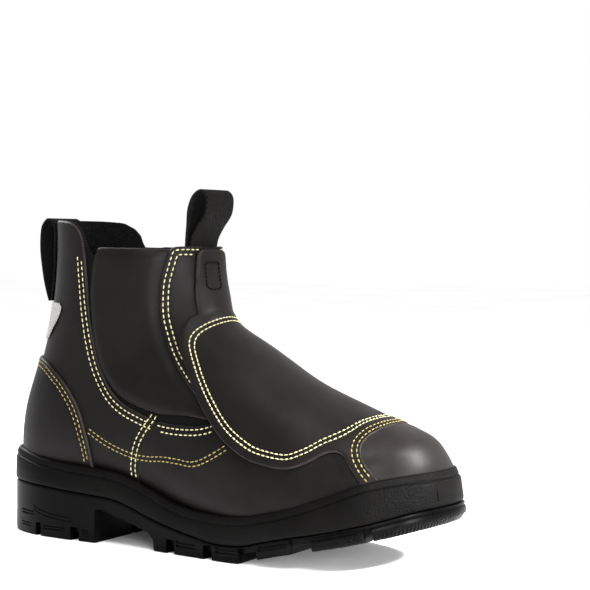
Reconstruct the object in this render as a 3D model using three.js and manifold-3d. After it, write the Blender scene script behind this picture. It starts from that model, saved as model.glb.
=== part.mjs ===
// Right safety boot: a pull-on work boot with elastic gores under leather flaps, a padded guard over
// the instep with a strap up to the collar, pull loops front and back, and a two-part rubber sole.
// Millimetres. X runs from heel to toe, Y to the inner side of the foot, Z up from the floor.
import * as THREE from 'three';
import { mergeVertices } from 'three/addons/utils/BufferGeometryUtils.js';
import Module from 'manifold-3d';

const wasm = await Module();
wasm.setup();

// Driving dimensions
const soleLength = 312;
const ballWidth = 112;
const heelHeight = 36;
const shaftHeight = 164;
const soleLip = 7;
const wall = 2.4;
const leather = 1.8;
const guardLeather = 2.2;
const guardPad = 4.5;
const insoleThickness = 4;
const goreThickness = 1.6;
const webbingWidth = 30;
const webbing = 2;
const strapWidth = 33;
const backstayWidth = 22;
const tabWidth = 28;
const tabThickness = 0.8;
const goreMargin = 5;
const lugDepth = 5;
const channelWidth = 5;
const strapRound = 4;
const strapEase = 2;
const gap = 0.3;

// Sizes worked out from them
const halfSole = ballWidth / 2;
const halfUpper = halfSole - soleLip;
const firstLayer = gap;
const secondLayer = firstLayer + leather + gap;
const thirdLayer = secondLayer + leather + gap;
const strapLayer = thirdLayer + webbing + gap;
const farAway = soleLength;
const anglesRound = 22;
const stepsAlong = 24;
const stepsBetweenRows = 2;
const normalStep = 0.02;

// Sole outline: along is a share of soleLength from the heel, lateral and medial of half the ballWidth.
const outlineRows = [
  { along: 0.0, lateral: 0.0, medial: 0.0 },
  { along: 0.02, lateral: -0.36, medial: 0.35 },
  { along: 0.05, lateral: -0.56, medial: 0.55 },
  { along: 0.115, lateral: -0.72, medial: 0.72 },
  { along: 0.195, lateral: -0.78, medial: 0.77 },
  { along: 0.31, lateral: -0.8, medial: 0.78 },
  { along: 0.42, lateral: -0.84, medial: 0.8 },
  { along: 0.53, lateral: -0.93, medial: 0.86 },
  { along: 0.64, lateral: -1.01, medial: 0.94 },
  { along: 0.72, lateral: -1.03, medial: 0.97 },
  { along: 0.8, lateral: -0.98, medial: 0.95 },
  { along: 0.87, lateral: -0.87, medial: 0.87 },
  { along: 0.925, lateral: -0.68, medial: 0.76 },
  { along: 0.965, lateral: -0.45, medial: 0.63 },
  { along: 0.99, lateral: -0.17, medial: 0.44 },
  { along: 1.0, lateral: 0.14, medial: 0.14 },
];

// Sole from the side, heights as shares of heelHeight: the rim round the upper, the border between
// midsole and outsole, the ground side with its toe spring, and the footbed.
const profileRows = [
  { along: 0.0, rim: 1.53, border: 0.92, ground: 0.0, footbed: 1.03 },
  { along: 0.07, rim: 1.48, border: 0.91, ground: 0.0, footbed: 1.0 },
  { along: 0.14, rim: 1.38, border: 0.89, ground: 0.0, footbed: 0.99 },
  { along: 0.205, rim: 1.32, border: 0.85, ground: 0.0, footbed: 0.96 },
  { along: 0.265, rim: 1.29, border: 0.82, ground: 0.0, footbed: 0.91 },
  { along: 0.325, rim: 1.24, border: 0.78, ground: 0.0, footbed: 0.82 },
  { along: 0.375, rim: 1.14, border: 0.67, ground: 0.0, footbed: 0.72 },
  { along: 0.42, rim: 1.0, border: 0.54, ground: 0.0, footbed: 0.61 },
  { along: 0.475, rim: 0.84, border: 0.43, ground: 0.0, footbed: 0.51 },
  { along: 0.54, rim: 0.75, border: 0.33, ground: 0.0, footbed: 0.43 },
  { along: 0.595, rim: 0.73, border: 0.27, ground: 0.0, footbed: 0.39 },
  { along: 0.645, rim: 0.76, border: 0.29, ground: 0.01, footbed: 0.38 },
  { along: 0.69, rim: 0.84, border: 0.38, ground: 0.12, footbed: 0.43 },
  { along: 0.75, rim: 0.97, border: 0.5, ground: 0.24, footbed: 0.51 },
  { along: 0.81, rim: 1.15, border: 0.6, ground: 0.34, footbed: 0.63 },
  { along: 0.88, rim: 1.39, border: 0.74, ground: 0.47, footbed: 0.77 },
  { along: 0.925, rim: 1.52, border: 0.85, ground: 0.56, footbed: 0.88 },
  { along: 0.96, rim: 1.6, border: 0.94, ground: 0.64, footbed: 0.97 },
  { along: 1.0, rim: 1.64, border: 1.0, ground: 0.72, footbed: 1.03 },
];

// Sections of the last, a fan from the toe round the instep to the collar. Each is a loop from a front
// to a back point: along is a share of soleLength, up of shaftHeight above the footbed. centre and half
// are shares of the upper's half width, widest says where between back and front the loop is widest,
// and crown and seat are the roundness of its two ends, 2 for an ellipse and more for a squarer end.
const lastColumns = ['front', 'back', 'centre', 'half', 'widest', 'crown', 'seat'];
const lastRows = [
  [[0.971, 0.056], [0.971, 0.05], 0.16, 0.01, 0.5, 2, 2],
  [[0.969, 0.101], [0.969, 0.003], 0.16, 0.22, 0.45, 2, 2.2],
  [[0.963, 0.149], [0.963, -0.024], 0.15, 0.355, 0.42, 2.1, 2.6],
  [[0.95, 0.192], [0.95, -0.039], 0.12, 0.49, 0.4, 2.15, 3],
  [[0.931, 0.234], [0.931, -0.046], 0.095, 0.618, 0.38, 2.2, 3.4],
  [[0.904, 0.274], [0.904, -0.048], 0.065, 0.741, 0.36, 2.25, 3.6],
  [[0.865, 0.318], [0.865, -0.049], 0.03, 0.855, 0.35, 2.3, 3.8],
  [[0.776, 0.395], [0.776, -0.047], -0.02, 0.985, 0.34, 2.15, 4],
  [[0.724, 0.447], [0.724, -0.044], -0.03, 1.0, 0.33, 2.05, 4],
  [[0.673, 0.504], [0.667, -0.032], -0.04, 0.992, 0.33, 2, 3.6],
  [[0.628, 0.555], [0.596, -0.025], -0.04, 0.97, 0.35, 2, 3],
  [[0.593, 0.594], [0.513, -0.025], -0.04, 0.941, 0.38, 2, 2.6],
  [[0.561, 0.63], [0.413, -0.026], -0.03, 0.902, 0.42, 2.05, 2.3],
  [[0.53, 0.666], [0.301, -0.023], -0.025, 0.863, 0.44, 2.1, 2.3],
  [[0.506, 0.702], [0.189, -0.017], -0.02, 0.833, 0.45, 2.15, 2.4],
  [[0.488, 0.738], [0.09, -0.012], -0.015, 0.814, 0.46, 2.2, 2.5],
  [[0.476, 0.774], [0.043, 0.041], -0.01, 0.804, 0.48, 2.2, 2.6],
  [[0.463, 0.84], [0.04, 0.212], 0, 0.81, 0.5, 2.2, 2.4],
  [[0.456, 0.905], [0.075, 0.415], 0, 0.827, 0.5, 2.2, 2.25],
  [[0.453, 0.977], [0.107, 0.636], 0, 0.849, 0.5, 2.2, 2.2],
  [[0.451, 1.068], [0.122, 0.868], 0, 0.867, 0.5, 2.2, 2.2],
  [[0.45, 1.196], [0.121, 1.1], 0, 0.878, 0.5, 2.2, 2.2],
].map((row) => Object.fromEntries(lastColumns.map((column, k) => [column, row[k]])));

// Edges of the upper's pieces from the side: along a share of soleLength, up of shaftHeight.
const quarterTop = [[0.0, 1.005], [0.19, 1.01], [0.22, 1.0], [0.24, 0.98], [0.25, 0.94], [0.255, 0.89]];
const quarterEdge = [
  [0.255, 0.89], [0.26, 0.77], [0.265, 0.65], [0.275, 0.54], [0.29, 0.46], [0.315, 0.395],
  [0.35, 0.36], [0.4, 0.35], [0.465, 0.355], [0.535, 0.375], [0.575, 0.405],
];
const collarEdge = [
  [0.0, 1.005], [0.19, 1.01], [0.22, 1.0], [0.24, 0.98], [0.25, 0.94], [0.265, 0.895], [0.285, 0.895],
  [0.3, 0.925], [0.36, 0.955], [0.43, 0.99], [0.46, 0.995],
];
const flapEdge = [
  [0.3, 0.93], [0.285, 0.88], [0.275, 0.75], [0.275, 0.6], [0.29, 0.48], [0.325, 0.4],
  [0.37, 0.375], [0.44, 0.38], [0.5, 0.4], [0.55, 0.4],
];
const flapFront = [[0.55, 0.4], [0.52, 0.52], [0.49, 0.62], [0.46, 0.7], [0.44, 0.85], [0.44, 0.99]];
const seamAt = 8;
const seamEdge = [[0.43, 0.35], [0.41, 0.3], [0.39, 0.24], [0.38, 0.17], [0.375, 0.08], [0.375, -0.3]];
const counterEdge = [
  [0.0, 0.475], [0.08, 0.47], [0.14, 0.46], [0.185, 0.42], [0.22, 0.37], [0.25, 0.3],
  [0.27, 0.22], [0.28, 0.14], [0.275, 0.04], [0.275, -0.3],
];
const panelEdge = [
  [0.445, 0.995], [0.435, 0.985], [0.43, 0.94], [0.42, 0.84], [0.42, 0.74], [0.43, 0.665],
  [0.455, 0.59], [0.49, 0.525], [0.53, 0.46],
];
const guardEdge = [
  [0.465, 0.73], [0.465, 0.66], [0.475, 0.61], [0.51, 0.52], [0.55, 0.435], [0.6, 0.35],
  [0.65, 0.3], [0.7, 0.26], [0.75, 0.235], [0.79, 0.24], [0.82, 0.26], [0.845, 0.245],
  [0.865, 0.195], [0.885, 0.12], [0.895, -0.1],
];
const bandFront = [
  [0.935, -0.1], [0.92, 0.08], [0.91, 0.135], [0.89, 0.19], [0.875, 0.235], [0.87, 0.265],
  [0.875, 0.29], [0.885, 0.305], [0.895, 0.315],
];
const capRear = [
  [0.9, -0.1], [0.89, 0.1], [0.875, 0.16], [0.865, 0.21], [0.855, 0.26], [0.86, 0.3], [0.875, 0.4],
];
const strapTop = 0.99;
const strapFlare = { along: 0.46, startUp: 0.75, endUp: 0.66, extra: 0.5 };
const tabBand = { low: 0.53, high: 0.675 };
const backstayBand = { low: 0.475, high: 0.99 };
const loopStem = { low: 0.885, high: 1.02 };

// Places along the foot that part its front and back pieces.
const collarFront = 0.45;
const stemRear = 0.4;
const strapRear = 0.38;
const collarBack = 0.1;
const backPieces = 0.3;

// Where outlines close, clear of the boot.
const behind = -0.3;
const ahead = 1.3;
const farDown = -1.5;

// Section numbers between which the guard's layers and its pad change, and the turns from the front
// between which the pad thins.
const guardRows = {
  padStart: 5.4, padFull: 7.5, padThin: 11.5, padEnd: 16,
  panelEnd: 8.6, panelFull: 10, stemEnd: 15.6, stemFull: 17,
};
const padTurns = { full: 0.16 * Math.PI, none: 0.37 * Math.PI };

// Corners of the elastic's window, each with the directions in which the margin moves it.
const goreCorners = [
  { along: 0.285, up: 1.2, inward: [1, 0] },
  { along: 0.285, up: 0.55, inward: [1, 1] },
  { along: 0.34, up: 0.43, inward: [1, 1] },
  { along: 0.45, up: 0.45, inward: [-1, 1] },
  { along: 0.42, up: 0.7, inward: [-1, 0] },
  { along: 0.405, up: 1.2, inward: [-1, 0] },
];

// Centre lines of the two webbing loops, from the side: along a share of soleLength, up of shaftHeight.
// Each loop is two strands that overlap at the top.
const frontLoop = [
  [
    [0.468, 1.01], [0.455, 1.035], [0.4425, 1.075], [0.4425, 1.13],
    [0.4525, 1.18], [0.4675, 1.21], [0.48, 1.21],
  ],
  [
    [0.4675, 1.21], [0.48, 1.21], [0.4875, 1.185], [0.485, 1.14],
    [0.4725, 1.0875], [0.4675, 1.045], [0.47, 1.01],
  ],
];
const backLoop = [
  [
    [0.0925, 0.69], [0.1, 0.79], [0.1025, 0.9], [0.1025, 0.96],
    [0.0975, 0.9975], [0.0875, 1.0125], [0.0775, 1.0075],
  ],
  [
    [0.0875, 1.0125], [0.0775, 1.0075], [0.0675, 0.975], [0.065, 0.9],
    [0.07, 0.82], [0.0775, 0.75], [0.0875, 0.69],
  ],
];

// The sole's side from below to above, in mm: inset from the outline, and height over a profile's line.
const outsoleSide = [
  { inset: 1.5, line: 'ground', above: 0 },
  { inset: 0, line: 'ground', above: 3 },
  { inset: 0, line: 'border', above: -2.5 },
  { inset: 2, line: 'border', above: 0 },
];
const midsoleSide = [
  { inset: 3, line: 'border', above: gap },
  { inset: 1.5, line: 'border', above: gap + 1.5 },
  { inset: 1.5, line: 'rim', above: -6.5 },
  { inset: 3.2, line: 'rim', above: -5.5 },
  { inset: 2.6, line: 'rim', above: -4.5 },
  { inset: 2.8, line: 'rim', above: -1.5 },
  { inset: 3.6, line: 'rim', above: 0 },
];

// The underside: the arch between heel and tread, and channels that part the lugs. width is in mm.
const archEdge = [
  [0.27, 0.4], [0.275, 0.47], [0.29, 0.51], [0.325, 0.52], [0.375, 0.42], [0.415, 0.3], [0.43, 0.2],
];
const belowGround = -0.2;
const crossChannels = [
  { along: 0.13, width: 4 },
  { along: 0.23, width: 6 },
  { along: 0.475, width: 6 },
  { along: 0.57, width: 6 },
  { along: 0.665, width: 13 },
  { along: 0.775, width: 13 },
  { along: 0.895, width: 4 },
];
const longChannels = [
  { from: 0.08, to: 0.29, side: -0.03 },
  { from: 0.42, to: 0.9, side: -0.33 },
  { from: 0.42, to: 0.9, side: 0.33 },
];

// Positions from shares
const xAt = (along) => (along - 0.5) * soleLength;
const alongAt = (x) => x / soleLength + 0.5;

function profile(name, x) {
  // A curve through the rows that never swings past them.
  const along = THREE.MathUtils.clamp(alongAt(x), 0, 1);
  const slopes = (i) => {
    const [from, to] = [profileRows[i], profileRows[i + 1]];
    return (to[name] - from[name]) / (to.along - from.along);
  };
  const last = profileRows.length - 1;
  const tangent = (i) => {
    if (i === 0 || i === last) return slopes(Math.min(i, last - 1));
    const before = slopes(i - 1);
    const after = slopes(i);
    return before * after <= 0 ? 0 : (2 * before * after) / (before + after);
  };
  let i = 0;
  while (i < last - 1 && along > profileRows[i + 1].along) i += 1;
  const span = profileRows[i + 1].along - profileRows[i].along;
  const t = (along - profileRows[i].along) / span;
  const rise = (3 - 2 * t) * t * t;
  const value = profileRows[i][name] * (1 - rise) + profileRows[i + 1][name] * rise
    + span * t * (1 - t) * (tangent(i) * (1 - t) - tangent(i + 1) * t);
  return value * heelHeight;
}

const zAt = (along, up) => profile('footbed', xAt(along)) + up * shaftHeight;

function smooth(points, stepsEach = 1) {
  const curve = new THREE.SplineCurve(points.map(([a, b]) => new THREE.Vector2(a, b)));
  return curve.getPoints((points.length - 1) * stepsEach).map((p) => [p.x, p.y]);
}

const sideView = (shares) => shares.map(([along, up]) => [xAt(along), zAt(along, up)]);

// Solids
function solid(positions, triangles) {
  const mesh = new wasm.Mesh({
    numProp: 3,
    vertProperties: Float32Array.from(positions.flat()),
    triVerts: Uint32Array.from(triangles.flat()),
  });
  return new wasm.Manifold(mesh);
}

const planes = {
  side: [new THREE.Vector3(1, 0, 0), new THREE.Vector3(0, 0, 1), new THREE.Vector3(0, -1, 0)],
  front: [new THREE.Vector3(0, 1, 0), new THREE.Vector3(0, 0, 1), new THREE.Vector3(1, 0, 0)],
  top: [new THREE.Vector3(1, 0, 0), new THREE.Vector3(0, 1, 0), new THREE.Vector3(0, 0, 1)],
};

function prism(plane, outline, from, to) {
  // An outline in one view, pushed through between two places on that view's depth axis.
  const [across, upward, deep] = planes[plane];
  const corners = outline.map(([a, b]) => new THREE.Vector2(a, b));
  const shape = new THREE.Shape(corners.filter((p, i) => p.distanceTo(corners.at(i - 1)) > gap / 10));
  const geometry = new THREE.ExtrudeGeometry(shape, { depth: to - from, bevelEnabled: false });
  const start = deep.clone().multiplyScalar(plane === 'side' ? -to : from);
  geometry.applyMatrix4(new THREE.Matrix4().makeBasis(across, upward, deep).setPosition(start));
  geometry.deleteAttribute('normal');
  geometry.deleteAttribute('uv');
  const merged = mergeVertices(geometry, 1e-4);
  const place = merged.getAttribute('position');
  const at = (i) => [place.getX(i), place.getY(i), place.getZ(i)];
  const positions = Array.from({ length: place.count }, (_, i) => at(i));
  const index = Array.from(merged.getIndex().array);
  const triangles = index.filter((_, i) => i % 3 === 0).map((_, i) => index.slice(3 * i, 3 * i + 3));
  return solid(positions, triangles);
}

const sidePrism = (shares, from = -farAway, to = farAway) => prism('side', sideView(shares), from, to);

// The last
function catmullRom(a, b, c, d, t) {
  const bend = 2 * a - 5 * b + 4 * c - d;
  const twist = 3 * b - a - 3 * c + d;
  return 0.5 * (2 * b + (c - a) * t + bend * t ** 2 + twist * t ** 3);
}

function lastRow(s) {
  const last = lastRows.length - 1;
  const i = Math.min(last - 1, Math.floor(s));
  const around = [i - 1, i, i + 1, i + 2].map((k) => lastRows[THREE.MathUtils.clamp(k, 0, last)]);
  const blend = (pick) => catmullRom(...around.map(pick), s - i);
  return {
    front: [blend((row) => row.front[0]), blend((row) => row.front[1])],
    back: [blend((row) => row.back[0]), blend((row) => row.back[1])],
    centre: blend((row) => row.centre) * halfUpper,
    half: blend((row) => row.half) * halfUpper,
    widest: blend((row) => row.widest),
    crown: blend((row) => row.crown),
    seat: blend((row) => row.seat),
  };
}

function lastPoint(s, angle) {
  // Angle 0 is the front of the loop, a quarter turn its lateral side and half a turn its back.
  const row = lastRow(s);
  const [front, back] = sideView([row.front, row.back]);
  const c = Math.cos(angle);
  const q = Math.sin(angle);
  const end = c >= 0 ? front : back;
  const power = 2 / (c >= 0 ? row.crown : row.seat);
  const reach = Math.abs(c) ** power;
  const spread = Math.sign(q) * Math.abs(q) ** power;
  const middle = [0, 1].map((k) => back[k] + (front[k] - back[k]) * row.widest);
  return new THREE.Vector3(
    middle[0] + (end[0] - middle[0]) * reach,
    row.centre - spread * row.half,
    middle[1] + (end[1] - middle[1]) * reach,
  );
}

function lastNormal(s, angle) {
  const last = lastRows.length - 1;
  const before = lastPoint(Math.max(0, s - normalStep), angle);
  const along = lastPoint(Math.min(last, s + normalStep), angle).sub(before);
  const around = lastPoint(s, angle + normalStep).sub(lastPoint(s, angle - normalStep));
  return along.cross(around).normalize();
}

function form(offset) {
  // The last grown by an offset in mm, or by a function of section and angle.
  const amount = typeof offset === 'function' ? offset : () => offset;
  const rows = lastRows.length;
  const positions = [];
  const triangles = [];
  for (let i = 0; i < rows; i += 1) {
    for (let j = 0; j < anglesRound; j += 1) {
      const angle = (2 * Math.PI * j) / anglesRound;
      const place = lastPoint(i, angle).addScaledVector(lastNormal(i, angle), amount(i, angle));
      positions.push(place.toArray());
    }
  }
  const at = (i, j) => i * anglesRound + (j % anglesRound);
  for (let i = 0; i + 1 < rows; i += 1) {
    for (let j = 0; j < anglesRound; j += 1) {
      triangles.push([at(i, j), at(i + 1, j + 1), at(i, j + 1)]);
      triangles.push([at(i, j), at(i + 1, j), at(i + 1, j + 1)]);
    }
  }
  for (let j = 1; j + 1 < anglesRound; j += 1) {
    triangles.push([at(0, 0), at(0, j), at(0, j + 1)]);
    triangles.push([at(rows - 1, 0), at(rows - 1, j + 1), at(rows - 1, j)]);
  }
  return solid(positions, triangles);
}

const layer = (inside, thickness) => form(inside + thickness).subtract(form(inside));

// The sole
function soleRing(inset) {
  const corner = (row, side) => new THREE.Vector2(xAt(row.along), row[side] * halfSole);
  const lateral = outlineRows.map((row) => corner(row, 'lateral'));
  const medial = outlineRows.slice(1, -1).reverse().map((row) => corner(row, 'medial'));
  const corners = [...lateral, ...medial];
  const count = corners.length;
  const point = (s) => {
    const i = Math.floor(s);
    const [a, b, c, d] = [i - 1, i, i + 1, i + 2].map((k) => corners[(k + count) % count]);
    return new THREE.Vector2(catmullRom(a.x, b.x, c.x, d.x, s - i), catmullRom(a.y, b.y, c.y, d.y, s - i));
  };
  return Array.from({ length: count * stepsBetweenRows }, (_, i) => {
    const s = i / stepsBetweenRows;
    const tangent = point((s + normalStep) % count).sub(point((s - normalStep + count) % count)).normalize();
    return point(s).add(new THREE.Vector2(-tangent.y, tangent.x).multiplyScalar(inset));
  });
}

function soleSolid(stations) {
  // Rings from the lowest to the highest, one for each row of a table of the sole's side.
  const ring = ({ inset, line, above }) => soleRing(inset).map((p) => [p.x, p.y, profile(line, p.x) + above]);
  const rings = stations.map(ring);
  const count = rings[0].length;
  const top = rings.length - 1;
  const at = (i, j) => i * count + ((j + count) % count);
  const triangles = [];
  for (let i = 0; i < top; i += 1) {
    for (let j = 0; j < count; j += 1) {
      triangles.push([at(i, j), at(i, j + 1), at(i + 1, j + 1)]);
      triangles.push([at(i, j), at(i + 1, j + 1), at(i + 1, j)]);
    }
  }
  for (let j = 0; j < count / 2; j += 1) {
    if (j > 0) {
      triangles.push([at(0, j), at(0, -j), at(0, j + 1)]);
      triangles.push([at(top, j), at(top, j + 1), at(top, -j)]);
    }
    if (j + 1 < count / 2) {
      triangles.push([at(0, j + 1), at(0, -j), at(0, -j - 1)]);
      triangles.push([at(top, j + 1), at(top, -j - 1), at(top, -j)]);
    }
  }
  return solid(rings.flat(), triangles);
}

const over = (name, extra = 0) => (x) => profile(name, x) + extra;

function slabOutline(low, high, from = 0, to = 1) {
  // A strip between two heights over X, from the side, with its corners on one grid for every strip.
  const first = Math.floor(from * stepsAlong) + 1;
  const count = Math.max(0, Math.ceil(to * stepsAlong) - first);
  const inner = Array.from({ length: count }, (_, i) => (first + i) / stepsAlong);
  const xs = [from, ...inner, to].map(xAt);
  return [...xs.map((x) => [x, low(x)]), ...xs.reverse().map((x) => [x, high(x)])];
}

function above(name, clearance) {
  return prism('side', slabOutline(over(name, clearance), () => farAway, -0.2, 1.2), -farAway, farAway);
}

const aboveFootbed = above('footbed', gap);
const aboveRim = above('rim', gap);

function outsole() {
  let body = soleSolid(outsoleSide);
  const breast = archEdge[0][0];
  const treadStart = archEdge.at(-1)[0];
  const arch = [[breast, belowGround], ...smooth(archEdge), [treadStart, belowGround]];
  const archSide = arch.map(([along, up]) => [xAt(along), up * heelHeight]);
  body = body.subtract(prism('side', archSide, -farAway, farAway));
  for (const { along, width } of crossChannels) {
    const half = width / soleLength / 2;
    const cut = slabOutline(over('ground', -lugDepth), over('ground', lugDepth), along - half, along + half);
    body = body.subtract(prism('side', cut, -farAway, farAway));
  }
  for (const { from, to, side } of longChannels) {
    const middle = side * halfSole;
    const cut = slabOutline(over('ground', -lugDepth), over('ground', lugDepth), from, to);
    body = body.subtract(prism('side', cut, middle - channelWidth / 2, middle + channelWidth / 2));
  }
  return body;
}

function midsole() {
  return soleSolid(midsoleSide).subtract(form(secondLayer).intersect(above('footbed', 0)));
}

function insole() {
  const strip = slabOutline(over('footbed', gap), over('footbed', gap + insoleThickness), -0.1, 1.1);
  return form(-wall - gap).intersect(prism('side', strip, -farAway, farAway));
}

// The upper and what is sewn on it
const collarOutline = [
  ...smooth(collarEdge), [0.7, collarEdge.at(-1)[1]], [0.7, 0.6],
  [ahead, 0.6], [ahead, farDown], [behind, farDown], [behind, collarEdge[0][1]],
];
const halves = { lateral: [-farAway, 0], medial: [0, farAway] };

function goreWindow(side, inset) {
  // A window inside the flap's outline, open at the collar.
  const corners = goreCorners.map(({ along, up, inward }) => [
    xAt(along) + inward[0] * inset, zAt(along, up) + inward[1] * inset,
  ]);
  return prism('side', corners, ...halves[side]);
}

function upper() {
  let body = layer(-wall, wall).intersect(sidePrism(collarOutline)).intersect(aboveFootbed);
  for (const side of Object.keys(halves)) {
    body = body.subtract(goreWindow(side, goreMargin));
  }
  return body;
}

function gore(side) {
  const inside = (wall - goreThickness) / 2 - wall;
  const window = goreWindow(side, goreMargin + gap).intersect(sidePrism(collarOutline));
  return layer(inside, goreThickness).intersect(window);
}

function quarter() {
  const outline = [
    [behind, quarterTop[0][1]], ...smooth(quarterTop), ...smooth(quarterEdge.slice(0, seamAt)),
    ...smooth(seamEdge), [behind, farDown],
  ];
  return layer(firstLayer, leather).intersect(sidePrism(outline)).intersect(aboveFootbed);
}

function heelCounter() {
  const outline = [[behind, counterEdge[0][1]], ...smooth(counterEdge), [behind, farDown]];
  return layer(secondLayer, leather).intersect(sidePrism(outline)).intersect(aboveRim);
}

function flap(side) {
  const outline = [...smooth(flapEdge), ...smooth(flapFront)];
  return layer(firstLayer, leather).intersect(sidePrism(outline, ...halves[side]));
}

function frontPanel() {
  const outline = [...smooth(panelEdge), [0.6, 0.5], [0.7, 0.7], [0.7, panelEdge[0][1]]];
  return layer(secondLayer, leather).intersect(sidePrism(outline));
}

function vamp() {
  const seam = seamEdge.map(([along, up]) => [along + gap / soleLength, up]).reverse();
  const edge = quarterEdge.slice(seamAt);
  const underGuard = [[0.585, 0.45], [0.6, 0.64], [0.68, 0.6]];
  const cap = capRear.map(([along, up]) => [along - gap / soleLength, up]).reverse();
  const below = [[cap.at(-1)[0], farDown], [seam[0][0], farDown]];
  const outline = [...smooth(seam), ...smooth(edge), ...underGuard, ...smooth(cap), ...below];
  return layer(firstLayer, leather).intersect(sidePrism(outline)).intersect(aboveFootbed);
}

function guardInside(s) {
  // How far the guard's leather lies off the last: over one layer on the vamp, two on the shaft, and
  // over the loop's ends as well under the strap.
  const { smoothstep, lerp } = THREE.MathUtils;
  const onShaft = lerp(secondLayer, thirdLayer, smoothstep(s, guardRows.panelEnd, guardRows.panelFull));
  return lerp(onShaft, strapLayer, smoothstep(s, guardRows.stemEnd, guardRows.stemFull));
}

function guardOutside(s, angle) {
  // The pad swells between the toe band and the strap, and thins towards the stitched edges.
  const { smoothstep } = THREE.MathUtils;
  const aside = Math.abs(Math.atan2(Math.sin(angle), Math.cos(angle)));
  const lengthwise = smoothstep(s, guardRows.padStart, guardRows.padFull)
    * (1 - smoothstep(s, guardRows.padThin, guardRows.padEnd));
  const across = 1 - smoothstep(aside, padTurns.full, padTurns.none);
  return guardInside(s) + guardLeather + guardPad * lengthwise * across;
}

function guard() {
  const skin = form(guardOutside).subtract(form(guardInside));
  const outFront = [[bandFront.at(-1)[0], 0.5], [0.7, 0.9], [0.48, 0.76]];
  const body = sidePrism([...smooth(guardEdge), ...smooth(bandFront), ...outFront]);
  const halfStrap = strapWidth / 2;
  const startZ = zAt(strapFlare.along, strapFlare.startUp);
  const endZ = zAt(strapFlare.along, strapFlare.endUp);
  const roundZ = zAt(collarFront, strapTop) - strapRound;
  const corner = [0, Math.PI / 4, Math.PI / 2].map((turn) => [
    halfStrap + strapRound * (Math.cos(turn) - 1), roundZ + strapRound * Math.sin(turn),
  ]);
  const rightSide = [
    [halfStrap * (1 + strapFlare.extra), endZ], [halfStrap + strapEase, (startZ + endZ) / 2],
    [halfStrap, startZ], ...corner,
  ];
  const leftSide = rightSide.map(([y, z]) => [-y, z]).reverse();
  const strap = prism('front', [...rightSide, ...leftSide], xAt(strapRear), farAway);
  return skin.intersect(body.add(strap)).intersect(aboveRim);
}

function toeCap() {
  const outline = [...smooth(capRear), [ahead, 0.6], [ahead, farDown], [capRear[0][0], farDown]];
  return layer(firstLayer, leather).intersect(sidePrism(outline)).intersect(aboveFootbed);
}

// Webbing
function band(points) {
  // A flat band along a centre line, from the side.
  const line = smooth(sideView(points), 2).map(([x, z]) => new THREE.Vector2(x, z));
  const edge = (side) => line.map((p, i) => {
    const along = line[Math.min(i + 1, line.length - 1)].clone().sub(line[Math.max(i - 1, 0)]).normalize();
    return [p.x - along.y * side, p.y + along.x * side];
  });
  const outline = [...edge(webbing / 2), ...edge(-webbing / 2).reverse()];
  return prism('side', outline, -webbingWidth / 2, webbingWidth / 2);
}

const loop = (strands) => strands.map(band).reduce((all, strand) => all.add(strand));

function frontPullLoop() {
  const half = webbingWidth / 2;
  const [low, high] = [loopStem.low, loopStem.high].map((up) => zAt(collarFront, up));
  const stemShape = [[-half, low], [half, low], [half, high], [-half, high]];
  const stem = layer(thirdLayer, webbing).intersect(prism('front', stemShape, xAt(stemRear), farAway));
  return stem.add(loop(frontLoop));
}

function strip(inside, thickness, width, reach) {
  // A vertical strip down the back of the shaft.
  const half = width / 2;
  const [low, high] = [reach.low, reach.high].map((up) => zAt(collarBack, up));
  const shape = [[-half, low], [half, low], [half, high], [-half, high]];
  return layer(inside, thickness).intersect(prism('front', shape, -farAway, xAt(backPieces)));
}

// Group
const finishes = {
  oiledLeather: { color: '#2b2524', roughness: 0.55, metalness: 0 },
  elastic: { color: '#141313', roughness: 0.9, metalness: 0 },
  felt: { color: '#0f0f10', roughness: 1, metalness: 0 },
  rubber: { color: '#161516', roughness: 0.6, metalness: 0 },
  tabCloth: { color: '#d8d5d0', roughness: 0.8, metalness: 0 },
  webbing: { color: '#1e1d1e', roughness: 0.85, metalness: 0 },
};

function part(name, body, finish) {
  const { vertProperties, triVerts } = body.getMesh();
  const geometry = new THREE.BufferGeometry();
  geometry.setAttribute('position', new THREE.Float32BufferAttribute(vertProperties, 3));
  geometry.setIndex(new THREE.Uint32BufferAttribute(triVerts, 1));
  geometry.computeVertexNormals();
  const mesh = new THREE.Mesh(geometry, new THREE.MeshStandardMaterial(finishes[finish]));
  mesh.name = name;
  return mesh;
}

const boot = new THREE.Group();
boot.add(
  part('outsole', outsole(), 'rubber'),
  part('midsole', midsole(), 'rubber'),
  part('insole', insole(), 'felt'),
  part('upper', upper(), 'oiledLeather'),
  part('quarter', quarter(), 'oiledLeather'),
  part('heel_counter', heelCounter(), 'oiledLeather'),
  part('flap_lateral', flap('lateral'), 'oiledLeather'),
  part('flap_medial', flap('medial'), 'oiledLeather'),
  part('front_panel', frontPanel(), 'oiledLeather'),
  part('toe_cap', toeCap(), 'oiledLeather'),
  part('vamp', vamp(), 'oiledLeather'),
  part('metguard', guard(), 'oiledLeather'),
  part('gore_lateral', gore('lateral'), 'elastic'),
  part('gore_medial', gore('medial'), 'elastic'),
  part('backstay', strip(secondLayer, leather, backstayWidth, backstayBand), 'oiledLeather'),
  part('pull_loop_front', frontPullLoop(), 'webbing'),
  part('pull_loop_back', loop(backLoop), 'webbing'),
  part('heel_tab', strip(thirdLayer, tabThickness, tabWidth, tabBand), 'tabCloth'),
);

// The sole bulges further to the outer side, so its middle is brought back over the origin.
const lateralReach = Math.min(...outlineRows.map((row) => row.lateral));
const medialReach = Math.max(...outlineRows.map((row) => row.medial));
boot.position.y = -halfSole * (lateralReach + medialReach) / 2;

export default boot;
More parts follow.
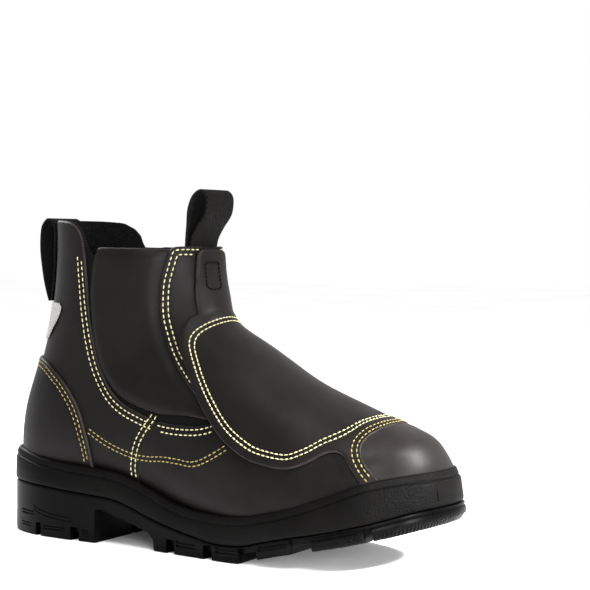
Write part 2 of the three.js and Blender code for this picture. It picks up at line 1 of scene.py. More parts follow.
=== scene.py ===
# Looks of the right safety boot: leather, stitching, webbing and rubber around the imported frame.
# Lengths are millimetres until a mesh is made. X runs from heel to toe, Y to the inner side, Z up.
import math

import bmesh
import bpy
import numpy as np
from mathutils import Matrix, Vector, kdtree


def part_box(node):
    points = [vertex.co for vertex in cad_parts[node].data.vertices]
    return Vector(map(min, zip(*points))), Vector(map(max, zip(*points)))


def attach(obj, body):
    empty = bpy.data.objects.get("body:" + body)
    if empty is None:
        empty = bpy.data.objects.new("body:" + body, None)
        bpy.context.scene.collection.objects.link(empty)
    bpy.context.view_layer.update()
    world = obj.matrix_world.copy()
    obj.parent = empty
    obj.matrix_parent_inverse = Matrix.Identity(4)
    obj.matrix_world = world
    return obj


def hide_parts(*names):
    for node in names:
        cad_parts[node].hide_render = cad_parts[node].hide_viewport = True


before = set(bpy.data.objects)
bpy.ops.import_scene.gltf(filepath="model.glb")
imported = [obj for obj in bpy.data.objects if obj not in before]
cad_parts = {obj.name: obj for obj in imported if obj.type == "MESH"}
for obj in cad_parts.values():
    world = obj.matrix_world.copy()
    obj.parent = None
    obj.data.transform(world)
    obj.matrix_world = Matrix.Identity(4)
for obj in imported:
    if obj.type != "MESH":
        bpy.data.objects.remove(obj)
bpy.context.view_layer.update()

# Driving sizes
MM = 0.001
sole_low, sole_high = (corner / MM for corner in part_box("outsole"))
SOLE_LENGTH = sole_high.x - sole_low.x
BALL_WIDTH = sole_high.y - sole_low.y
HEEL_HEIGHT = 36
SHAFT_HEIGHT = 164
SOLE_LIP = 7
WALL = 2.4
LEATHER = 1.8
GUARD_LEATHER = 2.2
GUARD_PAD = 4.5
BAND_SINK = 0.9
CAP_SWELL = 1.1
FLAP_SWELL = 1.6
WEBBING = 2
WEBBING_WIDTH = 30
STRAP_WIDTH = 31
STRAP_TAPER = 2.5
STEM_WIDTH = 20
STEM_THICKNESS = 0.7
BACKSTAY_WIDTH = 22
TAB_THICKNESS = 0.8
INSOLE_THICKNESS = 4
GAP = 0.3
HALF_SOLE = BALL_WIDTH / 2
HALF_UPPER = HALF_SOLE - SOLE_LIP
FIRST_LAYER = GAP
SECOND_LAYER = FIRST_LAYER + LEATHER + GAP
THIRD_LAYER = SECOND_LAYER + LEATHER + GAP
STRAP_LAYER = THIRD_LAYER + STEM_THICKNESS + GAP

# Sole outline: along is a share of the sole's length, lateral and medial of half the ball's width.
OUTLINE_COLUMNS = ("along", "lateral", "medial")
OUTLINE_ROWS = np.array([
    (0.0, 0.0, 0.0), (0.02, -0.36, 0.35), (0.05, -0.56, 0.55), (0.115, -0.72, 0.72),
    (0.195, -0.78, 0.77), (0.31, -0.8, 0.78), (0.42, -0.84, 0.8), (0.53, -0.93, 0.86),
    (0.64, -1.01, 0.94), (0.72, -1.03, 0.97), (0.8, -0.98, 0.95), (0.87, -0.87, 0.87),
    (0.925, -0.68, 0.76), (0.965, -0.45, 0.63), (0.99, -0.17, 0.44), (1.0, 0.14, 0.14),
])

# Sole from the side: heights are shares of the heel's height.
PROFILE_COLUMNS = ("along", "rim", "border", "ground", "footbed")
PROFILE_ROWS = np.array([
    (0.0, 1.53, 0.92, 0.0, 1.03), (0.07, 1.48, 0.91, 0.0, 1.0), (0.14, 1.38, 0.89, 0.0, 0.99),
    (0.205, 1.32, 0.85, 0.0, 0.96), (0.265, 1.29, 0.82, 0.0, 0.91), (0.325, 1.24, 0.78, 0.0, 0.82),
    (0.375, 1.14, 0.67, 0.0, 0.72), (0.42, 1.0, 0.54, 0.0, 0.61), (0.475, 0.84, 0.43, 0.0, 0.51),
    (0.54, 0.75, 0.33, 0.0, 0.43), (0.595, 0.73, 0.27, 0.0, 0.39), (0.645, 0.76, 0.29, 0.01, 0.38),
    (0.69, 0.84, 0.38, 0.12, 0.43), (0.75, 0.97, 0.5, 0.24, 0.51), (0.81, 1.15, 0.6, 0.34, 0.63),
    (0.88, 1.39, 0.74, 0.47, 0.77), (0.925, 1.52, 0.85, 0.56, 0.88), (0.96, 1.6, 0.94, 0.64, 0.97),
    (1.0, 1.64, 1.0, 0.72, 1.03),
])

# Sections of the last, from the toe round the instep to the collar.
LAST_COLUMNS = ("front_along", "front_up", "back_along", "back_up", "centre", "half", "widest", "crown", "seat")
LAST_ROWS = np.array([
    (0.971, 0.056, 0.971, 0.05, 0.16, 0.01, 0.5, 2, 2),
    (0.969, 0.101, 0.969, 0.003, 0.16, 0.22, 0.45, 2, 2.2),
    (0.963, 0.149, 0.963, -0.024, 0.15, 0.355, 0.42, 2.1, 2.6),
    (0.95, 0.192, 0.95, -0.039, 0.12, 0.49, 0.4, 2.15, 3),
    (0.931, 0.234, 0.931, -0.046, 0.095, 0.618, 0.38, 2.2, 3.4),
    (0.904, 0.274, 0.904, -0.048, 0.065, 0.741, 0.36, 2.25, 3.6),
    (0.865, 0.318, 0.865, -0.049, 0.03, 0.855, 0.35, 2.3, 3.8),
    (0.776, 0.395, 0.776, -0.047, -0.02, 0.985, 0.34, 2.15, 4),
    (0.724, 0.447, 0.724, -0.044, -0.03, 1.0, 0.33, 2.05, 4),
    (0.673, 0.504, 0.667, -0.032, -0.04, 0.992, 0.33, 2, 3.6),
    (0.628, 0.555, 0.596, -0.025, -0.04, 0.97, 0.35, 2, 3),
    (0.593, 0.594, 0.513, -0.025, -0.04, 0.941, 0.38, 2, 2.6),
    (0.561, 0.63, 0.413, -0.026, -0.03, 0.902, 0.42, 2.05, 2.3),
    (0.53, 0.666, 0.301, -0.023, -0.025, 0.863, 0.44, 2.1, 2.3),
    (0.506, 0.702, 0.189, -0.017, -0.02, 0.833, 0.45, 2.15, 2.4),
    (0.488, 0.738, 0.09, -0.012, -0.015, 0.814, 0.46, 2.2, 2.5),
    (0.476, 0.774, 0.043, 0.041, -0.01, 0.804, 0.48, 2.2, 2.6),
    (0.463, 0.84, 0.04, 0.212, 0, 0.81, 0.5, 2.2, 2.4),
    (0.456, 0.905, 0.075, 0.415, 0, 0.827, 0.5, 2.2, 2.25),
    (0.453, 0.977, 0.107, 0.636, 0, 0.849, 0.5, 2.2, 2.2),
    (0.451, 1.068, 0.122, 0.868, 0, 0.867, 0.5, 2.2, 2.2),
    (0.45, 1.196, 0.121, 1.1, 0, 0.878, 0.5, 2.2, 2.2),
])

# Edges of the pieces from the side: along and up, as shares of the sole's length and the shaft's height.
QUARTER_TOP = [(0.0, 1.005), (0.19, 1.01), (0.22, 1.0), (0.24, 0.98), (0.25, 0.94), (0.255, 0.89)]
QUARTER_EDGE = [
    (0.255, 0.89), (0.26, 0.77), (0.265, 0.65), (0.275, 0.54), (0.29, 0.46), (0.315, 0.395),
    (0.35, 0.36), (0.4, 0.35), (0.465, 0.355), (0.535, 0.375), (0.575, 0.405),
]
SEAM_AT = 8
SEAM_EDGE = [(0.433, 0.35), (0.415, 0.3), (0.398, 0.24), (0.387, 0.17), (0.381, 0.08), (0.381, -0.3)]
COLLAR_EDGE = [
    (0.0, 1.005), (0.19, 1.01), (0.22, 1.0), (0.24, 0.98), (0.25, 0.94), (0.265, 0.895), (0.285, 0.895),
    (0.3, 0.925), (0.36, 0.955), (0.43, 0.99), (0.46, 0.995),
]
FLAP_EDGE = [
    (0.292, 0.93), (0.277, 0.88), (0.267, 0.75), (0.27, 0.6), (0.285, 0.48), (0.322, 0.4),
    (0.37, 0.375), (0.44, 0.38), (0.5, 0.4), (0.55, 0.4),
]
FLAP_FRONT = [(0.55, 0.4), (0.52, 0.52), (0.49, 0.62), (0.46, 0.7), (0.44, 0.85), (0.44, 0.99)]
COUNTER_EDGE = [
    (0.0, 0.475), (0.08, 0.47), (0.14, 0.46), (0.18, 0.42), (0.21, 0.37), (0.238, 0.3),
    (0.257, 0.22), (0.266, 0.14), (0.263, 0.04), (0.263, -0.3),
]
PANEL_EDGE = [
    (0.435, 0.998), (0.423, 0.985), (0.417, 0.94), (0.407, 0.84), (0.407, 0.74), (0.418, 0.665),
    (0.443, 0.59), (0.48, 0.525), (0.525, 0.46),
]
GUARD_EDGE = [
    (0.455, 0.73), (0.452, 0.665), (0.462, 0.61), (0.497, 0.52), (0.537, 0.435), (0.587, 0.35),
    (0.635, 0.295), (0.685, 0.255), (0.735, 0.232), (0.777, 0.242), (0.807, 0.26), (0.832, 0.245),
    (0.852, 0.195), (0.872, 0.12), (0.885, -0.1),
]
BAND_FRONT = [
    (0.923, -0.1), (0.908, 0.08), (0.898, 0.135), (0.878, 0.19), (0.864, 0.235), (0.861, 0.265),
    (0.868, 0.29), (0.883, 0.305), (0.895, 0.315),
]
CAP_REAR = [
    (0.89, -0.1), (0.88, 0.1), (0.865, 0.16), (0.854, 0.21), (0.845, 0.26), (0.85, 0.3), (0.865, 0.4),
]
LOWER_LINE = [
    (0.262, 0.225), (0.3, 0.2), (0.34, 0.188), (0.38, 0.189), (0.42, 0.206), (0.455, 0.224),
    (0.49, 0.232), (0.53, 0.239), (0.57, 0.276), (0.62, 0.34),
]
STRAP_TOP = 0.99
STRAP_SPREAD = {"start_up": 0.76, "end_up": 0.69, "extra": 0.42}

# Section numbers between which the guard rises over the panel and over the loop's stem.
FILLING_ROUNDS = 60
GUARD_ROWS = {"panel_end": 8.6, "panel_full": 10, "stem_end": 15.6, "stem_full": 17}

# Centre lines of the webbing loops from the side, each from its inner end over the top to its outer end.
FRONT_LOOP = [
    (0.436, 0.97), (0.437, 1.01), (0.438, 1.04), (0.44, 1.08), (0.4425, 1.14), (0.4525, 1.192), (0.4675, 1.22),
    (0.48, 1.22), (0.4875, 1.197), (0.4835, 1.14), (0.466, 1.0875), (0.4535, 1.045), (0.448, 1.01), (0.447, 0.97),
]
BACK_LOOP = [
    (0.0925, 0.69), (0.1, 0.79), (0.1025, 0.9), (0.1025, 0.96), (0.0975, 0.9975), (0.0875, 1.0125),
    (0.0775, 1.0075), (0.0675, 0.975), (0.065, 0.9), (0.07, 0.82), (0.0775, 0.75), (0.0875, 0.69),
]
LOOP_STEM = {"low": 0.885, "high": 1.0}
TAB_SHAPE = [(14, 0.54), (14, 0.686), (-37, 0.686), (-36, 0.63), (-30, 0.54)]
BACKSTAY_BAND = {"low": 0.475, "high": 0.99}
BOX_STITCH = {"low": 0.83, "high": 0.94}

# The underside
ARCH_EDGE = [(0.281, 0.4), (0.282, 0.54), (0.287, 0.58), (0.305, 0.58), (0.335, 0.5), (0.375, 0.41), (0.415, 0.3), (0.43, 0.2)]
LUG_DEPTH = 5
CHANNEL_WIDTH = 5
CROSS_CHANNELS = [(0.13, 4), (0.23, 6), (0.475, 6), (0.57, 6), (0.665, 13), (0.775, 13), (0.895, 4)]
LONG_CHANNELS = [(0.08, 0.29, -0.03), (0.42, 0.9, -0.33), (0.42, 0.9, 0.33)]

# The sole's outline is wider to the outer side, so its middle lies beside the foot's line.
SHIFT_Y = -HALF_SOLE * (OUTLINE_ROWS[:, 1].min() + OUTLINE_ROWS[:, 2].max()) / 2


# Positions from shares
def x_at(along):
    return (np.asarray(along) - 0.5) * SOLE_LENGTH


def profile(name, x):
    """A height of the sole over X, on a curve that never swings past its rows."""
    along = np.clip(np.asarray(x) / SOLE_LENGTH + 0.5, 0, 1)
    stations = PROFILE_ROWS[:, 0]
    values = PROFILE_ROWS[:, PROFILE_COLUMNS.index(name)]
    slopes = np.diff(values) / np.diff(stations)
    before, after = slopes[:-1], slopes[1:]
    total = np.where(before * after > 0, before + after, 1)
    inner = np.where(before * after > 0, 2 * before * after / total, 0)
    tangents = np.concatenate([slopes[:1], inner, slopes[-1:]])
    i = np.clip(np.searchsorted(stations, along, side="right") - 1, 0, len(slopes) - 1)
    span = stations[i + 1] - stations[i]
    t = (along - stations[i]) / span
    rise = (3 - 2 * t) * t * t
    bend = span * t * (1 - t) * (tangents[i] * (1 - t) - tangents[i + 1] * t)
    return (values[i] * (1 - rise) + values[i + 1] * rise + bend) * HEEL_HEIGHT


def z_at(along, up):
    return profile("footbed", x_at(along)) + np.asarray(up) * SHAFT_HEIGHT


def side_view(shares):
    return np.array([(x_at(along), z_at(along, up)) for along, up in shares], float)


def catmull_rom(table, s):
    s = np.asarray(s, float)
    last = len(table) - 1
    i = np.clip(np.floor(s).astype(int), 0, last - 1)
    t = (s - i)[..., None]
    a, b, c, d = (table[np.clip(i + k, 0, last)] for k in (-1, 0, 1, 2))
    return 0.5 * (2 * b + (c - a) * t + (2 * a - 5 * b + 4 * c - d) * t**2 + (3 * b - a - 3 * c + d) * t**3)


def smooth(points, steps=6):
    table = np.array(points, float)
    return catmull_rom(table, np.linspace(0, len(table) - 1, (len(table) - 1) * steps + 1))


def smoothstep(value, low, high):
    t = np.clip((np.asarray(value, float) - low) / (high - low), 0, 1)
    return t * t * (3 - 2 * t)


def soft_min(a, b, blend):
    """The smaller of two distances, rounded where they meet."""
    share = np.clip(0.5 + 0.5 * (b - a) / blend, 0, 1)
    return b * (1 - share) + a * share - blend * share * (1 - share)


# The last
LAST_END = len(LAST_ROWS) - 1


def last_point(s, angle):
    """Angle 0 is the front of a section, a quarter turn its lateral side and half a turn its back."""
    row = catmull_rom(LAST_ROWS, s)
    front_along, front_up, back_along, back_up, centre, half, widest, crown, seat = np.moveaxis(row, -1, 0)
    front = np.stack([x_at(front_along), z_at(front_along, front_up)], -1)
    back = np.stack([x_at(back_along), z_at(back_along, back_up)], -1)
    c, q = np.cos(angle), np.sin(angle)
    power = np.where(c >= 0, crown, seat)
    size = (np.abs(c)**power + np.abs(q)**power)**(-1 / power)
    end = np.where((c >= 0)[..., None], front, back)
    middle = back + (front - back) * widest[..., None]
    place = middle + (end - middle) * (np.abs(c) * size)[..., None]
    return np.stack([place[..., 0], (centre - q * size * half) * HALF_UPPER, place[..., 1]], -1)


def last_normal(s, angle):
    step = 0.02
    along = last_point(np.clip(s + step, 0, LAST_END), angle) - last_point(np.clip(s - step, 0, LAST_END), angle)
    around = last_point(s, angle + step) - last_point(s, angle - step)
    normal = np.cross(along, around)
    return normal / np.maximum(np.linalg.norm(normal, axis=-1, keepdims=True), 1e-9)


STEPS_PER_ROW = 8
ANGLES_ROUND = 208
GRID_S = np.linspace(0, LAST_END, LAST_END * STEPS_PER_ROW + 1)
GRID_ANGLE = np.arange(ANGLES_ROUND) * 2 * math.pi / ANGLES_ROUND
S_MESH, ANGLE_MESH = np.meshgrid(GRID_S, GRID_ANGLE, indexing="ij")
GRID_POINTS = last_point(S_MESH, ANGLE_MESH)


def polygon_distance(points, outline):
    """Signed distance in a flat view, positive inside the closed outline."""
    flat = points.reshape(-1, 2)
    nearest = np.full(len(flat), np.inf)
    inside = np.zeros(len(flat), bool)
    for a, b in zip(outline, np.roll(outline, -1, axis=0)):
        along = b - a
        length = along @ along
        if length < 1e-9:
            continue
        t = np.clip((flat - a) @ along / length, 0, 1)
        nearest = np.minimum(nearest, np.linalg.norm(flat - a - t[:, None] * along, axis=1))
        crosses = (a[1] > flat[:, 1]) != (b[1] > flat[:, 1])
        if abs(along[1]) > 1e-9:
            inside ^= crosses & (flat[:, 0] < a[0] + (flat[:, 1] - a[1]) * along[0] / along[1])
    return np.where(inside, nearest, -nearest).reshape(points.shape[:-1])


def contour(field, level=0.0):
    """Chains of (s, angle) where a field on the grid crosses a level."""
    value = field - level
    above = value > 0
    right = np.roll(above, -1, axis=1)
    mixed = (above[:-1] != above[1:]) | (above[:-1] != right[:-1]) | (above[:-1] != right[1:])
    places, links = {}, {}
    for i, j in zip(*np.nonzero(mixed)):
        corners = [(i, j), (i + 1, j), (i + 1, j + 1), (i, j + 1)]
        crossed = []
        for (i0, j0), (i1, j1) in zip(corners, corners[1:] + corners[:1]):
            w0, w1 = j0 % ANGLES_ROUND, j1 % ANGLES_ROUND
            v0, v1 = value[i0, w0], value[i1, w1]
            if (v0 > 0) == (v1 > 0):
                continue
            key = tuple(sorted([(i0, w0), (i1, w1)]))
            t = v0 / (v0 - v1)
            angle = (j0 + (j1 - j0) * t) * 2 * math.pi / ANGLES_ROUND
            places[key] = ((i0 + (i1 - i0) * t) / STEPS_PER_ROW, angle)
            crossed.append(key)
        for a, b in zip(crossed[0::2], crossed[1::2]):
            links.setdefault(a, []).append(b)
            links.setdefault(b, []).append(a)
    chains, seen = [], set()
    for start in sorted(links, key=lambda key: len(links[key])):
        if start in seen:
            continue
        chain, here = [start], start
        seen.add(start)
        while True:
            onward = [key for key in links[here] if key not in seen]
            if not onward:
                break
            here = onward[0]
            seen.add(here)
            chain.append(here)
        closed = len(chain) > 2 and start in links[chain[-1]]
        if closed:
            chain.append(start)
        chains.append(np.array([places[key] for key in chain]))
    return chains


def dense(points, spacing=0.25):
    pieces = []
    for a, b in zip(points, points[1:]):
        count = max(1, int(np.linalg.norm(b - a) / spacing))
        pieces.append(a + (b - a) * np.arange(count)[:, None] / count)
    return np.concatenate(pieces) if pieces else points


def tree_of(points):
    tree = kdtree.KDTree(len(points))
    for k, point in enumerate(points):
        tree.insert(point, k)
    tree.balance()
    return tree


def distance_to(tree, points):
    flat = points.reshape(-1, 3)
    return np.array([tree.find(point)[2] for point in flat]).reshape(points.shape[:-1])


def true_distance(field):
    """Turns a rough field into the distance over the last from the field's zero line."""
    chains = contour(field)
    line = np.concatenate([dense(last_point(chain[:, 0], chain[:, 1])) for chain in chains if len(chain) > 1])
    return np.where(field > 0, 1, -1) * distance_to(tree_of(line), GRID_POINTS)


def sample(grid_field, s, angle):
    """A grid field between its points."""
    i = np.clip(np.asarray(s) * STEPS_PER_ROW, 0, len(GRID_S) - 1.001)
    j = np.asarray(angle) / (2 * math.pi) * ANGLES_ROUND
    i0, j0 = np.floor(i).astype(int), np.floor(j).astype(int)
    u, v = i - i0, j - j0
    a, b = j0 % ANGLES_ROUND, (j0 + 1) % ANGLES_ROUND
    low = grid_field[i0, a] * (1 - v) + grid_field[i0, b] * v
    high = grid_field[i0 + 1, a] * (1 - v) + grid_field[i0 + 1, b] * v
    return low * (1 - u) + high * u


FAR = 400.0
INNER_SETBACK = 13


def set_back(points):
    """Points seen from the side. Near the collar, the edges on the inner side lie further back."""
    shift = smoothstep(points[..., 0], x_at(0.05), x_at(0.2)) - smoothstep(points[..., 0], x_at(0.33), x_at(0.45))
    rise = smoothstep(points[..., 2], z_at(0.25, 0.55), z_at(0.25, 0.85))
    x = points[..., 0] + INNER_SETBACK * shift * rise * (points[..., 1] > 0)
    return np.stack([x, points[..., 2]], -1)


XZ = set_back(GRID_POINTS)
YZ = GRID_POINTS[..., [1, 2]]
ABOVE_FOOTBED = GRID_POINTS[..., 2] - profile("footbed", GRID_POINTS[..., 0])
ABOVE_RIM = GRID_POINTS[..., 2] - profile("rim", GRID_POINTS[..., 0])
TUCK = 5
IN_SOLE = ABOVE_RIM + TUCK


def side_field(shares):
    return polygon_distance(XZ, side_view(shares))


def front_field(corners):
    return polygon_distance(YZ, np.array(corners, float))


quarter_shape = [(-0.3, 1.005), *smooth(QUARTER_TOP), *smooth(QUARTER_EDGE[:SEAM_AT]), *smooth(SEAM_EDGE), (-0.3, -1.5)]
counter_shape = [(-0.3, 0.475), *smooth(COUNTER_EDGE), (-0.3, -1.5)]
flap_shape = [*smooth(FLAP_EDGE), *smooth(FLAP_FRONT)]
panel_shape = [*smooth(PANEL_EDGE), (0.6, 0.5), (0.7, 0.7), (0.7, 0.998)]
cap_shape = [*smooth(CAP_REAR), (1.2, 0.6), (1.2, -1.5), (0.9, -1.5)]
collar_shape = [*smooth(COLLAR_EDGE), (0.7, 0.998), (0.7, 0.6), (1.3, 0.6), (1.3, -1.5), (-0.3, -1.5), (-0.3, 1.005)]
vamp_shape = [
    *smooth(SEAM_EDGE)[::-1], *smooth(QUARTER_EDGE[SEAM_AT:]), (0.585, 0.45), (0.6, 0.64), (0.68, 0.6),
    *smooth(CAP_REAR)[::-1], (0.9, -1.5), (0.377, -1.5),
]
guard_shape = [*smooth(GUARD_EDGE), *smooth(BAND_FRONT), (0.895, 0.5), (0.7, 0.9), (0.48, 0.76)]


def strap_corners():
    """The strap from the front: round top corners, and sides that sweep out into the guard."""
    half = STRAP_WIDTH / 2
    start, end = float(z_at(0.46, STRAP_SPREAD["start_up"])), float(z_at(0.46, STRAP_SPREAD["end_up"]))
    top = float(z_at(0.45, STRAP_TOP))
    radius = 5
    sweep = [k / 6 for k in range(7)]
    right = [(half * (1 + STRAP_SPREAD["extra"] * (1 - share)**2), end + (start - end) * share) for share in sweep]
    right += [(half - STRAP_TAPER, top - radius)]
    turn = [math.pi / 2 * k / 4 for k in range(1, 4)]
    corner = half - STRAP_TAPER - radius
    right += [(corner + radius * math.cos(t), top - radius + radius * math.sin(t)) for t in turn]
    right += [(corner, top)]
    return [*right, *[(-y, z) for y, z in reversed(right)]]


is_lateral = GRID_POINTS[..., 1] < 0
on_front = GRID_POINTS[..., 0] > float(x_at(0.38))
on_back = GRID_POINTS[..., 0] < float(x_at(0.3))
strap_field = np.where(on_front, front_field(strap_corners()), -FAR)
guard_body = side_field(guard_shape)
collar_field = side_field(collar_shape)


def strip_field(width, low, high, along):
    z_low, z_high = float(z_at(along, low)), float(z_at(along, high))
    return front_field([(-width / 2, z_low), (width / 2, z_low), (width / 2, z_high), (-width / 2, z_high)])


FIELDS = {
    "upper": np.minimum(collar_field, IN_SOLE),
    "quarter": np.minimum(side_field(quarter_shape), IN_SOLE),
    "heel_counter": np.minimum(side_field(counter_shape), IN_SOLE),
    "flap": side_field(flap_shape),
    "front_panel": side_field(panel_shape),
    "toe_cap": np.minimum(side_field(cap_shape), IN_SOLE),
    "vamp": np.minimum(side_field(vamp_shape), IN_SOLE),
    "metguard": np.minimum(np.maximum(guard_body, strap_field), IN_SOLE),
    "guard_body": guard_body,
    "backstay": np.where(on_back, strip_field(BACKSTAY_WIDTH, along=0.1, **BACKSTAY_BAND), -FAR),
    "heel_tab": np.where(on_back, front_field([(y, float(z_at(0.1, up))) for y, up in TAB_SHAPE]), -FAR),
    "stem": np.where(on_front, strip_field(STEM_WIDTH, along=0.45, **LOOP_STEM), -FAR),
}
DISTANCES = {name: true_distance(field) for name, field in FIELDS.items()}


# Lines on the last
def locate(line, among, axes):
    """The (s, angle) whose places on the last follow a flat line, among some of the grid's points."""
    rows, columns = np.nonzero(among)
    flat = np.zeros((len(rows), 3))
    flat[:, [0, 1]] = GRID_POINTS[rows, columns][:, axes]
    tree = tree_of(flat)
    found = [tree.find((a, b, 0))[1] for a, b in line]
    s = GRID_S[rows[found]].astype(float)
    angle = GRID_ANGLE[columns[found]].astype(float)
    step = 1e-3
    for _ in range(5):
        place = last_point(s, angle)[:, axes]
        by_s = (last_point(np.clip(s + step, 0, LAST_END), angle)[:, axes] - place) / step
        by_angle = (last_point(s, angle + step)[:, axes] - place) / step
        miss = line - place
        area = by_s[:, 0] * by_angle[:, 1] - by_s[:, 1] * by_angle[:, 0]
        area = np.where(np.abs(area) < 1e-6, 1e-6, area)
        s += np.clip((miss[:, 0] * by_angle[:, 1] - miss[:, 1] * by_angle[:, 0]) / area, -0.2, 0.2)
        angle += np.clip((by_s[:, 0] * miss[:, 1] - by_s[:, 1] * miss[:, 0]) / area, -0.1, 0.1)
        s = np.clip(s, 0, LAST_END)
    return np.stack([s, angle], -1)


def side_line(points, lateral, aside=0.0):
    """A line drawn in the side view, moved aside in that view, on one side of the last."""
    line = side_view(smooth(points, 8))
    tangent = np.gradient(line, axis=0)
    tangent /= np.linalg.norm(tangent, axis=1, keepdims=True)
    line = line + np.stack([-tangent[:, 1], tangent[:, 0]], -1) * aside
    return locate(line, is_lateral if lateral else ~is_lateral, [0, 2])


def front_line(corners):
    """A closed line drawn in the front view, on the front of the shaft."""
    line = dense(np.array([*corners, corners[0]], float), 0.5)
    return locate(line, on_front & (GRID_POINTS[..., 2] > 120), [1, 2])


def edge_tree(points):
    """Search tree of an edge of the side view, on both sides of the last."""
    lines = [side_line(points, lateral) for lateral in (True, False)]
    return tree_of(np.concatenate([dense(last_point(line[:, 0], line[:, 1])) for line in lines]))


guard_edge_tree = edge_tree(GUARD_EDGE[:13])
band_front_tree = edge_tree(BAND_FRONT[1:])
EDGE_TO_PAD = 5.2
BAND_TO_PAD = 9.5
PAD_TOP = np.array([float(x_at(0.49)), 0, float(z_at(0.49, 0.725))])
PAD_TOP_DIRECTION = np.array([0, 0, -1])
PAD_CORNER = 18
TOE_CORNER = 15
from_edge = distance_to(guard_edge_tree, GRID_POINTS) - EDGE_TO_PAD
from_band = distance_to(band_front_tree, GRID_POINTS) - BAND_TO_PAD
from_top = (GRID_POINTS - PAD_TOP) @ PAD_TOP_DIRECTION
pad_field = soft_min(soft_min(from_edge, from_top, PAD_CORNER), from_band, TOE_CORNER)
DISTANCES["pad"] = np.where(DISTANCES["guard_body"] > 1, pad_field, -5)


# How far each piece lies off the last
def guard_inside(s):
    on_shaft = smoothstep(s, GUARD_ROWS["panel_end"], GUARD_ROWS["panel_full"])
    on_stem = smoothstep(s, GUARD_ROWS["stem_end"], GUARD_ROWS["stem_full"])
    base = SECOND_LAYER + (THIRD_LAYER - SECOND_LAYER) * on_shaft
    return base + (STRAP_LAYER - base) * on_stem


def rounded(distance, radius):
    """Share of a piece's thickness near its cut edge, round like worn leather."""
    share = np.clip(distance / radius, 0, 1)
    return 0.25 + 0.75 * np.sqrt(np.clip(1 - (1 - share)**2, 0, 1))


def groove(distance, rows, depth=0.35, width=0.7):
    """The dent that the thread pulls along each stitch row."""
    return -depth * sum(np.exp(-((distance - row) / width)**2) for row in rows)


ROWS = {
    "lower_edge": (2.3, 5.5),
    "heel_counter": (2.4, 5.3),
    "front_panel": (2.0, 5.0),
    "band": (2.2, 5.0),
    "pad": (0.0, 2.5),
    "seam": (1.2, 4.7),
    "lower_line": (-1.3, 1.3),
}


# Meshes
def make_object(name, points, faces, material, smooth_angle=40):
    mesh = bpy.data.meshes.new(name)
    mesh.from_pydata([tuple(p) for p in (np.asarray(points) + (0, SHIFT_Y, 0)) * MM], [], faces)
    mesh.validate()
    obj = bpy.data.objects.new(name, mesh)
    bpy.context.scene.collection.objects.link(obj)
    for item in material if isinstance(material, (list, tuple)) else [material]:
        mesh.materials.append(item)
    mesh.shade_smooth()
    mesh.set_sharp_from_angle(angle=math.radians(smooth_angle))
    return obj


def add_values(obj, name, values):
    attribute = obj.data.attributes.new(name, "FLOAT", "POINT")
    attribute.data.foreach_set("value", np.asarray(values, np.float32))


def dress(obj, slot, *nodes):
    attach(obj, "root")
    if nodes:
        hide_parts(*nodes)
    return obj


def cut_grid(distance, levels):
    """Cells of the grid inside the zero line, parted along each level, as (s, angle, distance) and faces."""
    columns = np.arange(ANGLES_ROUND)
    keep = distance > 0
    ahead = np.roll(keep, -1, axis=1)
    cells = np.argwhere(keep[:-1] | keep[1:] | ahead[:-1] | ahead[1:])
    index, s, angle, d = {}, [], [], []

    def vertex(i, j):
        key = (i, j % ANGLES_ROUND)
        if key not in index:
            index[key] = len(s)
            s.append(GRID_S[i])
            angle.append(GRID_ANGLE[columns[j % ANGLES_ROUND]])
            d.append(float(distance[i, j % ANGLES_ROUND]))
        return index[key]

    faces = [[vertex(i, j), vertex(i + 1, j), vertex(i + 1, j + 1), vertex(i, j + 1)] for i, j in cells]
    near = 0.12
    for level in levels:
        cuts, parted = {}, []
        for k, value in enumerate(d):
            if abs(value - level) < near:
                d[k] = level
        for face in faces:
            offsets = [d[v] - level for v in face]
            if min(offsets) >= 0:
                parted.append(face)
                continue
            if max(offsets) <= 0:
                if level > 0:
                    parted.append(face)
                continue
            upper_part, lower_part = [], []
            for v, w, dv, dw in zip(face, face[1:] + face[:1], offsets, offsets[1:] + offsets[:1]):
                if dv >= 0:
                    upper_part.append(v)
                if dv <= 0:
                    lower_part.append(v)
                if dv * dw < 0:
                    key = (min(v, w), max(v, w))
                    if key not in cuts:
                        t = dv / (dv - dw)
                        turn = angle[w] - angle[v]
                        turn -= 2 * math.pi * round(turn / (2 * math.pi))
                        cuts[key] = len(s)
                        s.append(s[v] + (s[w] - s[v]) * t)
                        angle.append(angle[v] + turn * t)
                        d.append(level)
                    upper_part.append(cuts[key])
                    lower_part.append(cuts[key])
            if len(upper_part) > 2:
                parted.append(upper_part)
            if level > 0 and len(lower_part) > 2:
                parted.append(lower_part)
        faces = parted
    used = sorted({v for face in faces for v in face})
    renumber = {v: k for k, v in enumerate(used)}
    faces = [[renumber[v] for v in face] for face in faces]
    pick = lambda values: np.array([values[v] for v in used])
    return pick(s), pick(angle), pick(d), faces


def border(faces):
    """Edges with one face, in that face's direction."""
    edges = {}
    for face in faces:
        for v, w in zip(face, face[1:] + face[:1]):
            edges[(v, w)] = True
    return [(v, w) for v, w in edges if (w, v) not in edges]


